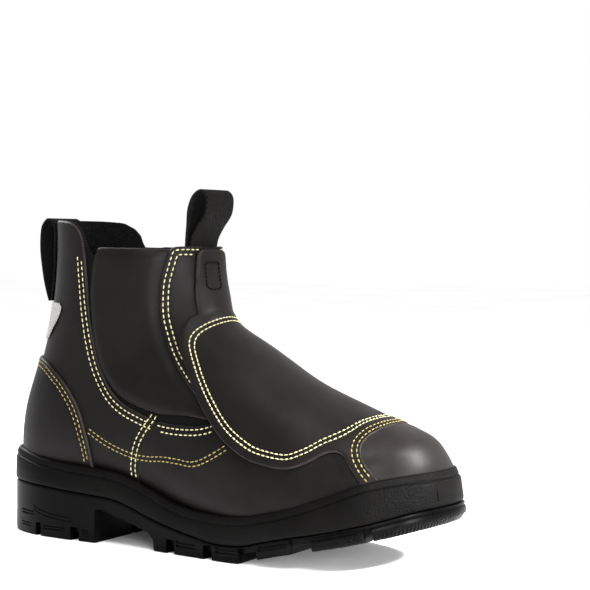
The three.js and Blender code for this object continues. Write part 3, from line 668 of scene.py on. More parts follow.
def sheet_piece(name, distance, levels, inner, outer, materials, shift=None):
    """A closed piece over the last, between an inner and an outer surface, with its cut edge."""
    s, angle, d, faces = cut_grid(distance, levels)
    base = last_point(s, angle)
    normal = last_normal(s, angle)
    above = base + normal * outer(s, angle, d, base)[:, None]
    if shift is not None:
        above = above + shift(s, angle)
    below = base + normal * inner(s, angle, d, base)[:, None]
    count = len(s)
    back = [[v + count for v in reversed(face)] for face in faces]
    rim = [[w, v, v + count, w + count] for v, w in border(faces)]
    obj = make_object(name, np.concatenate([above, below]), faces + back + rim, materials)
    add_values(obj, "edge", np.concatenate([d, d]))
    if len(materials) > 1:
        for polygon in obj.data.polygons[len(faces):len(faces) + len(back)]:
            polygon.material_index = 1
    return obj


# Materials
def new_material(name):
    material = bpy.data.materials.new(name)
    material.use_nodes = True
    tree = material.node_tree
    shader = tree.nodes["Principled BSDF"]
    return material, tree, shader


def node(tree, kind, **settings):
    made = tree.nodes.new(kind)
    for key, value in settings.items():
        if key in made.inputs:
            made.inputs[key].default_value = value
        else:
            setattr(made, key, value)
    return made


def noise(tree, scale, detail=4.0, rough=0.6):
    place = node(tree, "ShaderNodeTexCoord")
    made = node(tree, "ShaderNodeTexNoise", Scale=scale, Detail=detail, Roughness=rough)
    tree.links.new(place.outputs["Object"], made.inputs["Vector"])
    return made.outputs["Fac"]


def ramp(tree, source, low, high, start=0.35, end=0.65):
    made = node(tree, "ShaderNodeValToRGB")
    made.color_ramp.elements[0].position = start
    made.color_ramp.elements[0].color = (*low, 1) if len(low) == 3 else low
    made.color_ramp.elements[1].position = end
    made.color_ramp.elements[1].color = (*high, 1) if len(high) == 3 else high
    tree.links.new(source, made.inputs["Fac"])
    return made.outputs["Color"]


def span(tree, source, low, high, start=0.0, end=1.0):
    made = node(tree, "ShaderNodeMapRange")
    for key, value in (("From Min", start), ("From Max", end), ("To Min", low), ("To Max", high)):
        made.inputs[key].default_value = value
    tree.links.new(source, made.inputs["Value"])
    return made.outputs["Result"]


def mix(tree, factor, a, b, kind="MIX"):
    made = node(tree, "ShaderNodeMix", data_type="RGBA", blend_type=kind)
    for source, socket in ((factor, made.inputs[0]), (a, made.inputs[6]), (b, made.inputs[7])):
        if hasattr(source, "links"):
            tree.links.new(source, socket)
        else:
            socket.default_value = source
    return made.outputs[2]


def bump(tree, shader, heights):
    """Chains bumps, each a height, a strength and a distance in millimetres."""
    normal = None
    for height, strength, distance in heights:
        made = node(tree, "ShaderNodeBump", Strength=strength, Distance=distance * MM)
        tree.links.new(height, made.inputs["Height"])
        if normal is not None:
            tree.links.new(normal, made.inputs["Normal"])
        normal = made.outputs["Normal"]
    tree.links.new(normal, shader.inputs["Normal"])


def edge_value(tree, name="edge"):
    return node(tree, "ShaderNodeAttribute", attribute_name=name).outputs["Fac"]


def leather_material(name, dark, pale, roughness=0.5, edge_wear_and_highlight_amount=0.9):
    material, tree, shader = new_material(name)
    cloud = noise(tree, 22, 5, 0.62)
    tone = ramp(tree, cloud, dark, pale, 0.36, 0.72)
    # Cut edges are lighter in colour: partly edge wear, partly a painted highlight where the rounded edges catch the
    # light, broken up by noise.
    edge_wear_and_highlight = span(tree, edge_value(tree), 1, 0, 0.05, 0.8)
    edge_colour_worn_and_lit = tuple(min(1, value * 6) for value in pale)
    edge_wear_and_highlight_mix = node(tree, "ShaderNodeMath", operation="MULTIPLY")
    tree.links.new(edge_wear_and_highlight, edge_wear_and_highlight_mix.inputs[0])
    tree.links.new(span(tree, noise(tree, 90, 3), 0.2, edge_wear_and_highlight_amount, 0.3, 0.65), edge_wear_and_highlight_mix.inputs[1])
    tree.links.new(mix(tree, edge_wear_and_highlight_mix.outputs[0], tone, (*edge_colour_worn_and_lit, 1)), shader.inputs["Base Color"])
    tree.links.new(span(tree, noise(tree, 60, 4), roughness - 0.08, roughness + 0.1), shader.inputs["Roughness"])
    pores = node(tree, "ShaderNodeTexVoronoi", Scale=1100.0, Randomness=1.0)
    place = node(tree, "ShaderNodeTexCoord")
    tree.links.new(place.outputs["Object"], pores.inputs["Vector"])
    bump(tree, shader, [
        (noise(tree, 140, 5), 0.25, 0.5),
        (noise(tree, 900, 4), 0.3, 0.12),
        (pores.outputs["Distance"], 0.25, 0.08),
    ])
    shader.inputs["Specular IOR Level"].default_value = 0.08
    return material


def rubber_material(name, base, roughness):
    """Moulded rubber, stippled where "stipple" says and knurled across "around" where "knurl" says."""
    material, tree, shader = new_material(name)
    tone = ramp(tree, noise(tree, 30, 4), tuple(c * 0.7 for c in base), tuple(c * 1.4 for c in base))
    tree.links.new(tone, shader.inputs["Base Color"])
    tree.links.new(span(tree, noise(tree, 70, 5), roughness - 0.08, roughness + 0.12), shader.inputs["Roughness"])
    turn = math_node(tree, "MULTIPLY", edge_value(tree, "around"), 2 * math.pi / KNURL_PITCH)
    ribs = math_node(tree, "MULTIPLY", math_node(tree, "SINE", turn), edge_value(tree, "knurl"))
    grain = math_node(tree, "MULTIPLY", noise(tree, 800, 2), edge_value(tree, "stipple"))
    bump(tree, shader, [(noise(tree, 90, 3), 0.15, 0.4), (noise(tree, 1500, 3), 0.3, 0.1), (grain, 0.9, 0.9), (ribs, 0.8, 0.4)])
    shader.inputs["Specular IOR Level"].default_value = 0.035
    return material


def math_node(tree, operation, a, b=None):
    made = node(tree, "ShaderNodeMath", operation=operation)
    tree.links.new(a, made.inputs[0])
    if hasattr(b, "links"):
        tree.links.new(b, made.inputs[1])
    elif b is not None:
        made.inputs[1].default_value = b
    return made.outputs[0]


def felt_material(name, base):
    material, tree, shader = new_material(name)
    tone = ramp(tree, noise(tree, 700, 5, 0.85), tuple(c * 0.3 for c in base), tuple(c * 2.6 for c in base), 0.4, 0.7)
    tree.links.new(tone, shader.inputs["Base Color"])
    shader.inputs["Roughness"].default_value = 0.95
    shader.inputs["Specular IOR Level"].default_value = 0.05
    bump(tree, shader, [(noise(tree, 700, 5, 0.8), 0.8, 0.5)])
    return material


def elastic_material():
    material, tree, shader = new_material("elastic")
    place = node(tree, "ShaderNodeTexCoord")
    ribs = node(tree, "ShaderNodeTexWave", Scale=420.0, Distortion=0.6, bands_direction="X")
    ribs.inputs["Detail Scale"].default_value = 3.0
    tree.links.new(place.outputs["Object"], ribs.inputs["Vector"])
    tree.links.new(ramp(tree, ribs.outputs["Fac"], (0.0015, 0.0015, 0.0015), (0.006, 0.0056, 0.0056), 0.2, 0.9),
                   shader.inputs["Base Color"])
    shader.inputs["Roughness"].default_value = 0.9
    shader.inputs["Specular IOR Level"].default_value = 0.05
    bump(tree, shader, [(ribs.outputs["Fac"], 0.6, 0.3), (noise(tree, 900, 3), 0.3, 0.1)])
    return material


def woven_material(name, dark, pale, pitch=0.9):
    """Plain weave from two crossing waves, along and across the band."""
    material, tree, shader = new_material(name)
    along = edge_value(tree, "along")
    across = edge_value(tree, "across")
    waves = []
    for source, phase in ((along, 0.0), (across, 0.5)):
        turn = node(tree, "ShaderNodeMath", operation="MULTIPLY")
        turn.inputs[1].default_value = math.pi / pitch
        tree.links.new(source, turn.inputs[0])
        wave = node(tree, "ShaderNodeMath", operation="SINE")
        tree.links.new(turn.outputs[0], wave.inputs[0])
        waves.append(wave.outputs[0])
    product = node(tree, "ShaderNodeMath", operation="MULTIPLY")
    tree.links.new(waves[0], product.inputs[0])
    tree.links.new(waves[1], product.inputs[1])
    weave = span(tree, product.outputs[0], 0, 1, -1, 1)
    speck = noise(tree, 900, 4, 0.8)
    tone = ramp(tree, speck, dark, pale, 0.3, 0.75)
    shade = ramp(tree, weave, (0.25, 0.25, 0.25), (1, 1, 1), 0.15, 0.75)
    tree.links.new(mix(tree, 1.0, tone, shade, "MULTIPLY"), shader.inputs["Base Color"])
    shader.inputs["Roughness"].default_value = 0.8
    shader.inputs["Specular IOR Level"].default_value = 0.08
    bump(tree, shader, [(weave, 0.7, 0.3), (noise(tree, 1400, 4, 0.8), 0.5, 0.15)])
    return material


def thread_material(name, dark, pale):
    material, tree, shader = new_material(name)
    tree.links.new(ramp(tree, noise(tree, 500, 3), dark, pale, 0.3, 0.7), shader.inputs["Base Color"])
    shader.inputs["Roughness"].default_value = 0.8
    shader.inputs["Specular IOR Level"].default_value = 0.1
    bump(tree, shader, [(noise(tree, 2500, 2), 0.5, 0.1)])
    return material


LEATHER_LOOK = leather_material("oiled_leather", (0.0026, 0.002, 0.0019), (0.0056, 0.0045, 0.0043), 0.46)
# The guard's and the toe's leather are lighter copies of the same oiled leather: painted highlight on the strap, the
# pad and the toe cap.
HIGHLIT_GUARD_LOOK = leather_material("guard_leather", (0.0036, 0.0028, 0.0026), (0.0072, 0.0058, 0.0055), 0.43)
HIGHLIT_CAP_LOOK = leather_material("toe_leather", (0.0065, 0.0055, 0.0052), (0.016, 0.0138, 0.013), 0.38)
KNURL_PITCH = 2.4
MIDSOLE_LOOK = rubber_material("midsole_rubber", (0.0022, 0.002, 0.0019), 0.42)
OUTSOLE_LOOK = rubber_material("outsole_rubber", (0.0014, 0.0013, 0.0013), 0.28)
FELT_LOOK = felt_material("lining_felt", (0.0035, 0.0035, 0.0038))
ELASTIC_LOOK = elastic_material()
WEBBING_LOOK = woven_material("webbing", (0.0012, 0.0011, 0.001), (0.0105, 0.0092, 0.0086), 1.6)
TAB_LOOK = woven_material("tab_cloth", (0.36, 0.35, 0.345), (0.58, 0.57, 0.56), 0.5)
THREAD_LOOK = thread_material("yellow_thread", (0.28, 0.26, 0.125), (0.52, 0.49, 0.29))
# A darker copy of the yellow thread: painted shade for the rows on the heel counter, the toe band and the lower line.
SHADED_THREAD_LOOK = thread_material("shaded_thread", (0.17, 0.135, 0.045), (0.33, 0.27, 0.1))
BLACK_THREAD_LOOK = thread_material("black_thread", (0.0004, 0.0004, 0.0004), (0.001, 0.001, 0.001))

# Creases, from the side: a trough along a line of shares, with its width and depth in millimetres.
CREASES = [
    {"line": [(0.47, 0.62), (0.46, 0.52), (0.49, 0.43)], "width": 5, "depth": 1.1},
    {"line": [(0.30, 0.62), (0.36, 0.52), (0.43, 0.47)], "width": 12, "depth": 1.0},
    {"line": [(0.14, 0.62), (0.20, 0.6), (0.24, 0.63)], "width": 9, "depth": 0.7},
    {"line": [(0.12, 0.34), (0.18, 0.3), (0.24, 0.22)], "width": 10, "depth": -0.5},
    {"line": [(0.5, 0.22), (0.58, 0.2), (0.66, 0.17)], "width": 8, "depth": 0.7},
    {"line": [(0.31, 0.86), (0.35, 0.78), (0.37, 0.68)], "width": 12, "depth": 0.6},
]


def line_distance(points, line):
    nearest = np.full(len(points), np.inf)
    for a, b in zip(line, line[1:]):
        along = b - a
        t = np.clip((points - a) @ along / (along @ along), 0, 1)
        nearest = np.minimum(nearest, np.linalg.norm(points - a - t[:, None] * along, axis=1))
    return nearest


def creases(base):
    """Height of the leather's soft troughs and ridges."""
    total = np.zeros(len(base))
    for crease in CREASES:
        line = side_view(smooth(crease["line"], 4))
        total -= crease["depth"] * np.exp(-(line_distance(base[:, [0, 2]], line) / crease["width"])**2)
    return total


def constant(value):
    return lambda s, angle, d, base: np.full(len(s), float(value))


# Leather pieces
LEVELS_EDGE = (0, 0.25, 0.6, 1.1)


def levels_for(rows, radius=1.1):
    beside = [row + step for row in rows for step in (-0.8, 0, 0.8)]
    return tuple(sorted({0, 0.25 * radius, 0.55 * radius, radius, *[value for value in beside if value > 0.3]}))


def covered(name, s, angle, margin=0.0):
    return sample(DISTANCES[name], s, angle) > margin


def skin(inside, thickness, rows=(), radius=1.1, swell=None):
    """Outer surface of a leather piece: its rounded edge, stitch grooves, creases and any swelling."""
    def lift(s, angle, d, base):
        height = inside + thickness * rounded(d, radius) + groove(d, rows)
        height = height + np.clip(d / 6, 0, 1) * creases(base) * 0.6
        if swell is not None:
            height = height + swell(s, angle, d, base)
        return height
    return lift


def flap_swell(s, angle, d, base):
    clear = smoothstep(-sample(DISTANCES["front_panel"], s, angle), 1, 8)
    clear_guard = smoothstep(-sample(DISTANCES["guard_body"], s, angle), 1, 8)
    return FLAP_SWELL * smoothstep(d, 0, 6) * clear * clear_guard


def cap_swell(s, angle, d, base):
    """The toe cap rises to the band that overlaps it, and keeps its height over the rim."""
    return CAP_SWELL * smoothstep(base[:, 2] - profile("rim", base[:, 0]), 2, 16)


def make_upper():
    # The window's edge lies under the flap, and the wall's outside shows as a dark line beside it.
    obj = sheet_piece(
        "upper_wall", DISTANCES["upper"], LEVELS_EDGE, constant(-WALL), constant(0), [ELASTIC_LOOK, FELT_LOOK])
    return dress(obj, "upper_leather", "upper")


def tab_seat(s, angle):
    """The tab lies over the backstay, and on the quarter beside it."""
    return SECOND_LAYER + (THIRD_LAYER - SECOND_LAYER) * smoothstep(sample(DISTANCES["backstay"], s, angle), -2, 0)


def make_leather():
    lower_rows = ROWS["lower_edge"]
    quarter = sheet_piece(
        "quarter_leather", DISTANCES["quarter"], levels_for(lower_rows), constant(FIRST_LAYER),
        skin(FIRST_LAYER, LEATHER), [LEATHER_LOOK])
    dress(quarter, "upper_leather", "quarter")
    counter = sheet_piece(
        "counter_leather", DISTANCES["heel_counter"], levels_for(ROWS["heel_counter"]), constant(SECOND_LAYER),
        skin(SECOND_LAYER, LEATHER, ROWS["heel_counter"]), [LEATHER_LOOK])
    dress(counter, "upper_leather", "heel_counter")
    for side, keep in (("lateral", is_lateral), ("medial", ~is_lateral)):
        distance = np.where(keep, DISTANCES["flap"], -np.abs(DISTANCES["flap"]))
        flap = sheet_piece(
            "flap_leather_" + side, distance, levels_for((), 2.4), constant(FIRST_LAYER),
            skin(FIRST_LAYER, LEATHER, (), 2.4, flap_swell), [LEATHER_LOOK])
        dress(flap, "upper_leather", "flap_" + side)
    panel = sheet_piece(
        "panel_leather", DISTANCES["front_panel"], levels_for(ROWS["front_panel"]), constant(SECOND_LAYER),
        skin(SECOND_LAYER, LEATHER, ROWS["front_panel"]), [LEATHER_LOOK])
    dress(panel, "upper_leather", "front_panel")
    vamp = sheet_piece(
        "vamp_leather", DISTANCES["vamp"], LEVELS_EDGE, constant(FIRST_LAYER), skin(FIRST_LAYER, LEATHER), [LEATHER_LOOK])
    dress(vamp, "upper_leather", "vamp")
    cap = sheet_piece(
        "toe_leather", DISTANCES["toe_cap"], LEVELS_EDGE, constant(FIRST_LAYER),
        skin(FIRST_LAYER, LEATHER, swell=cap_swell), [HIGHLIT_CAP_LOOK])
    dress(cap, "upper_leather", "toe_cap")
    backstay = sheet_piece(
        "backstay_leather", DISTANCES["backstay"], LEVELS_EDGE, constant(SECOND_LAYER),
        skin(SECOND_LAYER, LEATHER), [LEATHER_LOOK])
    dress(backstay, "upper_leather", "backstay")
    tab = sheet_piece(
        "heel_tab_cloth", DISTANCES["heel_tab"], (0, 0.4), lambda s, angle, d, base: tab_seat(s, angle),
        lambda s, angle, d, base: tab_seat(s, angle) + TAB_THICKNESS, [TAB_LOOK])
    add_values(tab, "along", np.array([v.co.z / MM for v in tab.data.vertices]))
    add_values(tab, "across", np.array([v.co.y / MM for v in tab.data.vertices]))
    dress(tab, "tab_cloth", "heel_tab")


def guard_outer(s, angle, d, base):
    pad = sample(DISTANCES["pad"], s, angle)
    swell = GUARD_PAD * smoothstep(pad, 2.5, 22)
    thin = BAND_SINK * smoothstep(-pad, -2, 8) * smoothstep(base[:, 0], x_at(0.8), x_at(0.88))
    seat = guard_inside(s) + (GUARD_LEATHER - thin) * rounded(d, 1.3)
    band = band_front_distance(base)
    rows = groove(pad, ROWS["pad"], 0.4) + groove(band, ROWS["band"], 0.35) * (pad < 0)
    return seat + swell + rows


def band_front_distance(base):
    return np.array([band_front_tree.find(point)[2] for point in base])


def guard_filling():
    """How the padding fills the hollows under the guard: its outside on the grid, evened out."""
    normal = last_normal(S_MESH, ANGLE_MESH)
    lift = guard_outer(S_MESH.ravel(), ANGLE_MESH.ravel(), DISTANCES["metguard"].ravel(), GRID_POINTS.reshape(-1, 3))
    start = GRID_POINTS + normal * lift.reshape(S_MESH.shape)[..., None]
    share = smoothstep(DISTANCES["pad"], 3.5, 14)[..., None]
    shape = start.copy()
    for _ in range(FILLING_ROUNDS):
        along = (np.concatenate([shape[:1], shape[:-1]]) + np.concatenate([shape[1:], shape[-1:]])) / 2
        around = (np.roll(shape, 1, axis=1) + np.roll(shape, -1, axis=1)) / 2
        shape = shape + (along * 0.7 + around * 0.3 - shape) * share * 0.8
    return shape - start


def make_guard():
    filling = guard_filling()

    def shift(s, angle):
        return np.stack([sample(filling[..., k], s, angle) for k in range(3)], -1)

    guard = sheet_piece(
        "guard_leather", DISTANCES["metguard"], levels_for((), 1.3),
        lambda s, angle, d, base: guard_inside(s), guard_outer, [HIGHLIT_GUARD_LOOK], shift)
    dress(guard, "guard_leather", "metguard")


# Webbing loops
def webbing_band(points, width, thickness, bow=0.0, steps=8):
    """A flat band along a line of the side view, with rounded edges, bowed towards the toe at its sides."""
    line = side_view(smooth(points, steps))
    tangent = np.gradient(line, axis=0)
    tangent /= np.linalg.norm(tangent, axis=1, keepdims=True)
    out = np.stack([-tangent[:, 1], tangent[:, 0]], -1)
    length = np.concatenate([[0], np.cumsum(np.linalg.norm(np.diff(line, axis=0), axis=1))])
    half, thin = width / 2, thickness / 2
    corner = thin * 0.8
    flat = np.linspace(-half + corner, half - corner, 13)
    section = [(y, thin) for y in flat]
    section += [(half - corner + corner * math.sin(t), thin * math.cos(t)) for t in (math.pi / 4, math.pi / 2, 3 * math.pi / 4)]
    section += [(y, -thin) for y in flat[::-1]]
    section += [(-half + corner - corner * math.sin(t), thin * math.cos(t)) for t in (3 * math.pi / 4, math.pi / 2, math.pi / 4)]
    points3, along, across = [], [], []
    for place, normal, distance in zip(line, out, length):
        for y, lift in section:
            at = place + normal * lift
            points3.append((at[0] + bow * y * y / (2 * half), y, at[1]))
            along.append(distance)
            across.append(y)
    count = len(section)
    rings = len(line)
    faces = []
    for i in range(rings - 1):
        for j in range(count):
            k = (j + 1) % count
            faces.append([i * count + j, (i + 1) * count + j, (i + 1) * count + k, i * count + k])
    faces.append(list(range(count)))
    faces.append([(rings - 1) * count + j for j in reversed(range(count))])
    return np.array(points3), faces, along, across


def make_loop(name, points, bow, node_name):
    points3, faces, along, across = webbing_band(points, WEBBING_WIDTH, WEBBING * 0.9, bow)
    obj = make_object(name, points3, faces, WEBBING_LOOK)
    add_values(obj, "along", along)
    add_values(obj, "across", across)
    recalculate(obj)
    return dress(obj, "webbing", node_name)


def recalculate(obj):
    work = bmesh.new()
    work.from_mesh(obj.data)
    bmesh.ops.recalc_face_normals(work, faces=work.faces)
    work.to_mesh(obj.data)
    work.free()


def make_webbing():
    make_loop("front_webbing", FRONT_LOOP, 0.0, "pull_loop_front")
    make_loop("back_webbing", BACK_LOOP, 0.12, "pull_loop_back")
    stem = sheet_piece(
        "loop_stem", DISTANCES["stem"], (0, 0.5), constant(THIRD_LAYER), constant(THIRD_LAYER + STEM_THICKNESS), [WEBBING_LOOK])
    add_values(stem, "along", np.array([v.co.z / MM for v in stem.data.vertices]))
    add_values(stem, "across", np.array([v.co.y / MM for v in stem.data.vertices]))
    dress(stem, "webbing")


# Stitching
def stitch_template(length, width):
    """One stitch: a short thread that rises out of the leather and dips in again, along X."""
    rings, sides = 5, 6
    points, faces = [], []
    for k in range(rings):
        t = -1 + 2 * k / (rings - 1)
        radius = width / 2 * (0.35 + 0.65 * math.sqrt(max(0, 1 - t * t)))
        for j in range(sides):
            turn = 2 * math.pi * j / sides
            points.append((t * length / 2, radius * math.cos(turn), radius * math.sin(turn) * 0.8 + 0.32 * (1 - t * t) - 0.14))
    for k in range(rings - 1):
        for j in range(sides):
            m = (j + 1) % sides
            faces.append([k * sides + j, k * sides + m, (k + 1) * sides + m, (k + 1) * sides + j])
    faces.append([j for j in reversed(range(sides))])
    faces.append([(rings - 1) * sides + j for j in range(sides)])
    return np.array(points), faces


def stitch_places(chain, lift, pitch, hide=None):
    """Places, directions and normals of stitches along a chain of (s, angle) on the last."""
    s, angle = chain[:, 0], chain[:, 1]
    base = last_point(s, angle)
    normal = last_normal(s, angle)
    place = base + normal * lift(s, angle, base)[:, None]
    length = np.concatenate([[0], np.cumsum(np.linalg.norm(np.diff(place, axis=0), axis=1))])
    if length[-1] < pitch:
        return []
    count = int(length[-1] / pitch)
    centres = (np.arange(count) + 0.5) * length[-1] / count
    show = np.ones(len(s)) if hide is None else np.where(hide(s, angle, base), 0.0, 1.0)
    stitches = []
    for centre in centres:
        if np.interp(centre, length, show) < 0.99:
            continue
        ahead, behind = centre + pitch * 0.4, centre - pitch * 0.4
        at = [np.interp(centre, length, place[:, k]) for k in range(3)]
        tangent = np.array([
            np.interp(ahead, length, place[:, k]) - np.interp(behind, length, place[:, k]) for k in range(3)])
        up = np.array([np.interp(centre, length, normal[:, k]) for k in range(3)])
        stitches.append((np.array(at), tangent, up))
    return stitches


def make_stitches(name, stitches, material, length=2.5, width=0.85):
    template, faces = stitch_template(length, width)
    points, all_faces = [], []
    for at, tangent, up in stitches:
        tangent = tangent / np.linalg.norm(tangent)
        up = up - tangent * (up @ tangent)
        up = up / np.linalg.norm(up)
        side = np.cross(up, tangent)
        start = len(points) * len(template)
        points.append(at + template @ np.stack([tangent, side, up]))
        all_faces.extend([[v + start for v in face] for face in faces])
    obj = make_object(name, np.concatenate(points), all_faces, material, 80)
    return dress(obj, "thread")


def strap_box():
    """Corners of the box stitched on the strap, its lower ones cut off."""
    half, aside, low, high = 5.5, -3.5, float(z_at(0.45, BOX_STITCH["low"])), float(z_at(0.45, BOX_STITCH["high"]))
    corner = 2
    corners = [(-half, high), (-half, low + corner), (-half + corner, low), (half - corner, low),
               (half, low + corner), (half, high)]
    return [(y + aside, z) for y, z in corners]


def make_all_stitches():
    bright, shaded_stitches = [], []
    stitch = 0.05

    def first_lift(s, angle, base):
        return FIRST_LAYER + LEATHER + creases(base) * 0.4 + stitch

    def second_lift(s, angle, base):
        return np.full(len(s), SECOND_LAYER + LEATHER - 0.2 + stitch)

    def under_others(*names, low=1.0, high=1.2):
        def hide(s, angle, base):
            above = (base[:, 2] - profile("footbed", base[:, 0])) / SHAFT_HEIGHT
            hidden = (base[:, 2] < profile("rim", base[:, 0]) + low) | (above > high)
            for name in names:
                hidden |= covered(name, s, angle, -0.3)
            return hidden
        return hide

    edge_side = edge_tree(QUARTER_EDGE)
    union = true_distance(np.maximum(FIELDS["quarter"], FIELDS["vamp"]))
    from_quarter_edge = distance_to(edge_side, GRID_POINTS)
    edge_only = np.where(union > 0, from_quarter_edge, -from_quarter_edge)
    for level in ROWS["lower_edge"]:
        for chain in contour(edge_only, level):
            def hide(s, angle, base):
                other = under_others("guard_body", "front_panel", "flap", high=0.905)(s, angle, base)
                return other | (sample(union, s, angle) < level - 0.6)
            bright += stitch_places(chain, first_lift, 3.5, hide)
    for level in ROWS["heel_counter"]:
        for chain in contour(DISTANCES["heel_counter"], level):
            shaded_stitches += stitch_places(chain, second_lift, 3.4, under_others("backstay", low=3.5))
    for level in ROWS["front_panel"]:
        for chain in contour(DISTANCES["front_panel"], level):
            bright += stitch_places(chain, second_lift, 3.6, under_others("guard_body", "stem", "metguard"))
    guard_rows = []

    def guard_lift(s, angle, base):
        d = sample(DISTANCES["metguard"], s, angle)
        return guard_outer(s, angle, d, base) + 0.3

    for level in ROWS["pad"]:
        for chain in contour(DISTANCES["pad"], level):
            guard_rows += stitch_places(
                chain, guard_lift, 3.1, lambda s, angle, base: sample(DISTANCES["guard_body"], s, angle) < 2)
    from_band_front = distance_to(band_front_tree, GRID_POINTS)
    inside_band = np.where(DISTANCES["metguard"] > 0, from_band_front, -from_band_front)
    for level in ROWS["band"]:
        for chain in contour(inside_band, level):
            def hide_band(s, angle, base):
                below = base[:, 2] < profile("rim", base[:, 0]) + 1
                return below | (sample(DISTANCES["metguard"], s, angle) < 1.5)
            shaded_stitches += stitch_places(chain, guard_lift, 3.3, hide_band)
    for lateral in (True, False):
        for aside in ROWS["seam"]:
            line = side_line([(0.437, 0.37), *SEAM_EDGE], lateral, -aside)
            bright += stitch_places(line, first_lift, 3.4, under_others("guard_body"))
        for aside in ROWS["lower_line"]:
            line = side_line(LOWER_LINE, lateral, aside)
            shaded_stitches += stitch_places(line, first_lift, 3.4, under_others("guard_body", "heel_counter"))
    make_stitches("stitches_edges", bright, THREAD_LOOK)
    # The rows on the heel counter, the toe band and the lower line take the darker copy of the yellow thread, a painted
    # shade.
    make_stitches("stitches_shaded", shaded_stitches, SHADED_THREAD_LOOK, 2.4, 0.75)
    make_stitches("stitches_guard", guard_rows, THREAD_LOOK, 2.6, 0.85)
    box = stitch_places(front_line(strap_box()), guard_lift, 2.4)
    make_stitches("stitches_box", box, BLACK_THREAD_LOOK, 2.0, 1.3)


# Sole
RING_POINTS = 360
TIP_DIP = 3


def toe_share(x):
    """0 round the heel and waist, 1 round the toe."""
    return smoothstep(x, x_at(0.55), x_at(0.9))


def tip_share(x):
    return smoothstep(x, x_at(0.88), x_at(0.985))


def rim(extra=0.0):
    """Heights along the rim, which dips at the toe's tip."""
    return lambda x: profile("rim", x) + extra - TIP_DIP * tip_share(x)


def sole_outline(inset, count=RING_POINTS):
    """The sole's outline moved in by a length or by a function of X."""
    lateral = np.stack([x_at(OUTLINE_ROWS[:, 0]), OUTLINE_ROWS[:, 1] * HALF_SOLE], -1)
    medial = np.stack([x_at(OUTLINE_ROWS[1:-1, 0]), OUTLINE_ROWS[1:-1, 2] * HALF_SOLE], -1)[::-1]
    corners = np.concatenate([lateral, medial])
    total = len(corners)
    around = np.concatenate([corners[-2:], corners, corners[:3]])
    curve = catmull_rom(around, np.linspace(2, 2 + total, 2000))
    length = np.concatenate([[0], np.cumsum(np.linalg.norm(np.diff(curve, axis=0), axis=1))])
    # Even steps from the heel to the toe on each side, so that the rings pair up across the sole.
    heel_to_toe = length[np.argmin(np.linalg.norm(curve - corners[len(lateral) - 1], axis=1))]
    half = count // 2
    stops = np.concatenate([
        np.linspace(0, heel_to_toe, half, endpoint=False),
        np.linspace(heel_to_toe, length[-1], count - half, endpoint=False),
    ])
    line = np.stack([np.interp(stops, length, curve[:, k]) for k in (0, 1)], -1)
    tangent = np.roll(line, -1, axis=0) - np.roll(line, 1, axis=0)
    tangent /= np.linalg.norm(tangent, axis=1, keepdims=True)
    distance = inset(line[:, 0]) if callable(inset) else inset
    return line + np.stack([-tangent[:, 1], tangent[:, 0]], -1) * np.asarray(distance).reshape(-1, 1)


def from_to(heel, toe, tip=0.0):
    """An inset that changes from the heel's to the toe's, with some more at the toe's tip."""
    return lambda x: heel + (toe - heel) * toe_share(x) + tip * tip_share(x)


def ring(inset, height, count=RING_POINTS):
    line = sole_outline(inset, count)
    return np.column_stack([line, height(line[:, 0]) + np.zeros(count)])


def over(name, extra=0.0):
    return lambda x: profile(name, x) + extra


def rings_mesh(rings):
    """Faces of stacked rings, closed by strips across the first and the last."""
    count = len(rings[0])
    top = len(rings) - 1
    at = lambda i, j: i * count + (j % count)
    faces = [[at(i, j), at(i, j + 1), at(i + 1, j + 1), at(i + 1, j)] for i in range(top) for j in range(count)]
    for j in range(count // 2):
        low = [at(0, j), at(0, -j), at(0, -j - 1), at(0, j + 1)]
        high = [at(top, j), at(top, j + 1), at(top, -j - 1), at(top, -j)]
        faces += [list(dict.fromkeys(low)), list(dict.fromkeys(high))]
    return np.concatenate(rings), [face for face in faces if len(face) > 2]


def box_cutter(name, boxes):
    """Joined boxes, each eight corners, as a hidden object that cuts another."""
    points, faces = [], []
    for corners in boxes:
        start = len(points)
        points.extend(corners)
        for face in ((0, 3, 2, 1), (4, 5, 6, 7), (0, 1, 5, 4), (1, 2, 6, 5), (2, 3, 7, 6), (3, 0, 4, 7)):
            faces.append([v + start for v in face])
    return make_object(name, points, faces, OUTSOLE_LOOK)


def block(x0, x1, y0, y1, z0, z1):
    """Eight corners, where each height may be a pair for the two ends in X."""
    (low0, low1), (high0, high1) = (z if isinstance(z, tuple) else (z, z) for z in (z0, z1))
    return [(x0, y0, low0), (x1, y0, low1), (x1, y1, low1), (x0, y1, low0),
            (x0, y0, high0), (x1, y0, high1), (x1, y1, high1), (x0, y1, high0)]


def cut(obj, cutter):
    modifier = obj.modifiers.new("cut", "BOOLEAN")
    modifier.object = cutter
    modifier.operation = "DIFFERENCE"
    modifier.solver = "MANIFOLD"
    apply_modifiers(obj)
    bpy.data.objects.remove(cutter)


def apply_modifiers(obj):
    graph = bpy.context.evaluated_depsgraph_get()
    mesh = bpy.data.meshes.new_from_object(obj.evaluated_get(graph))
    obj.modifiers.clear()
    obj.data = mesh


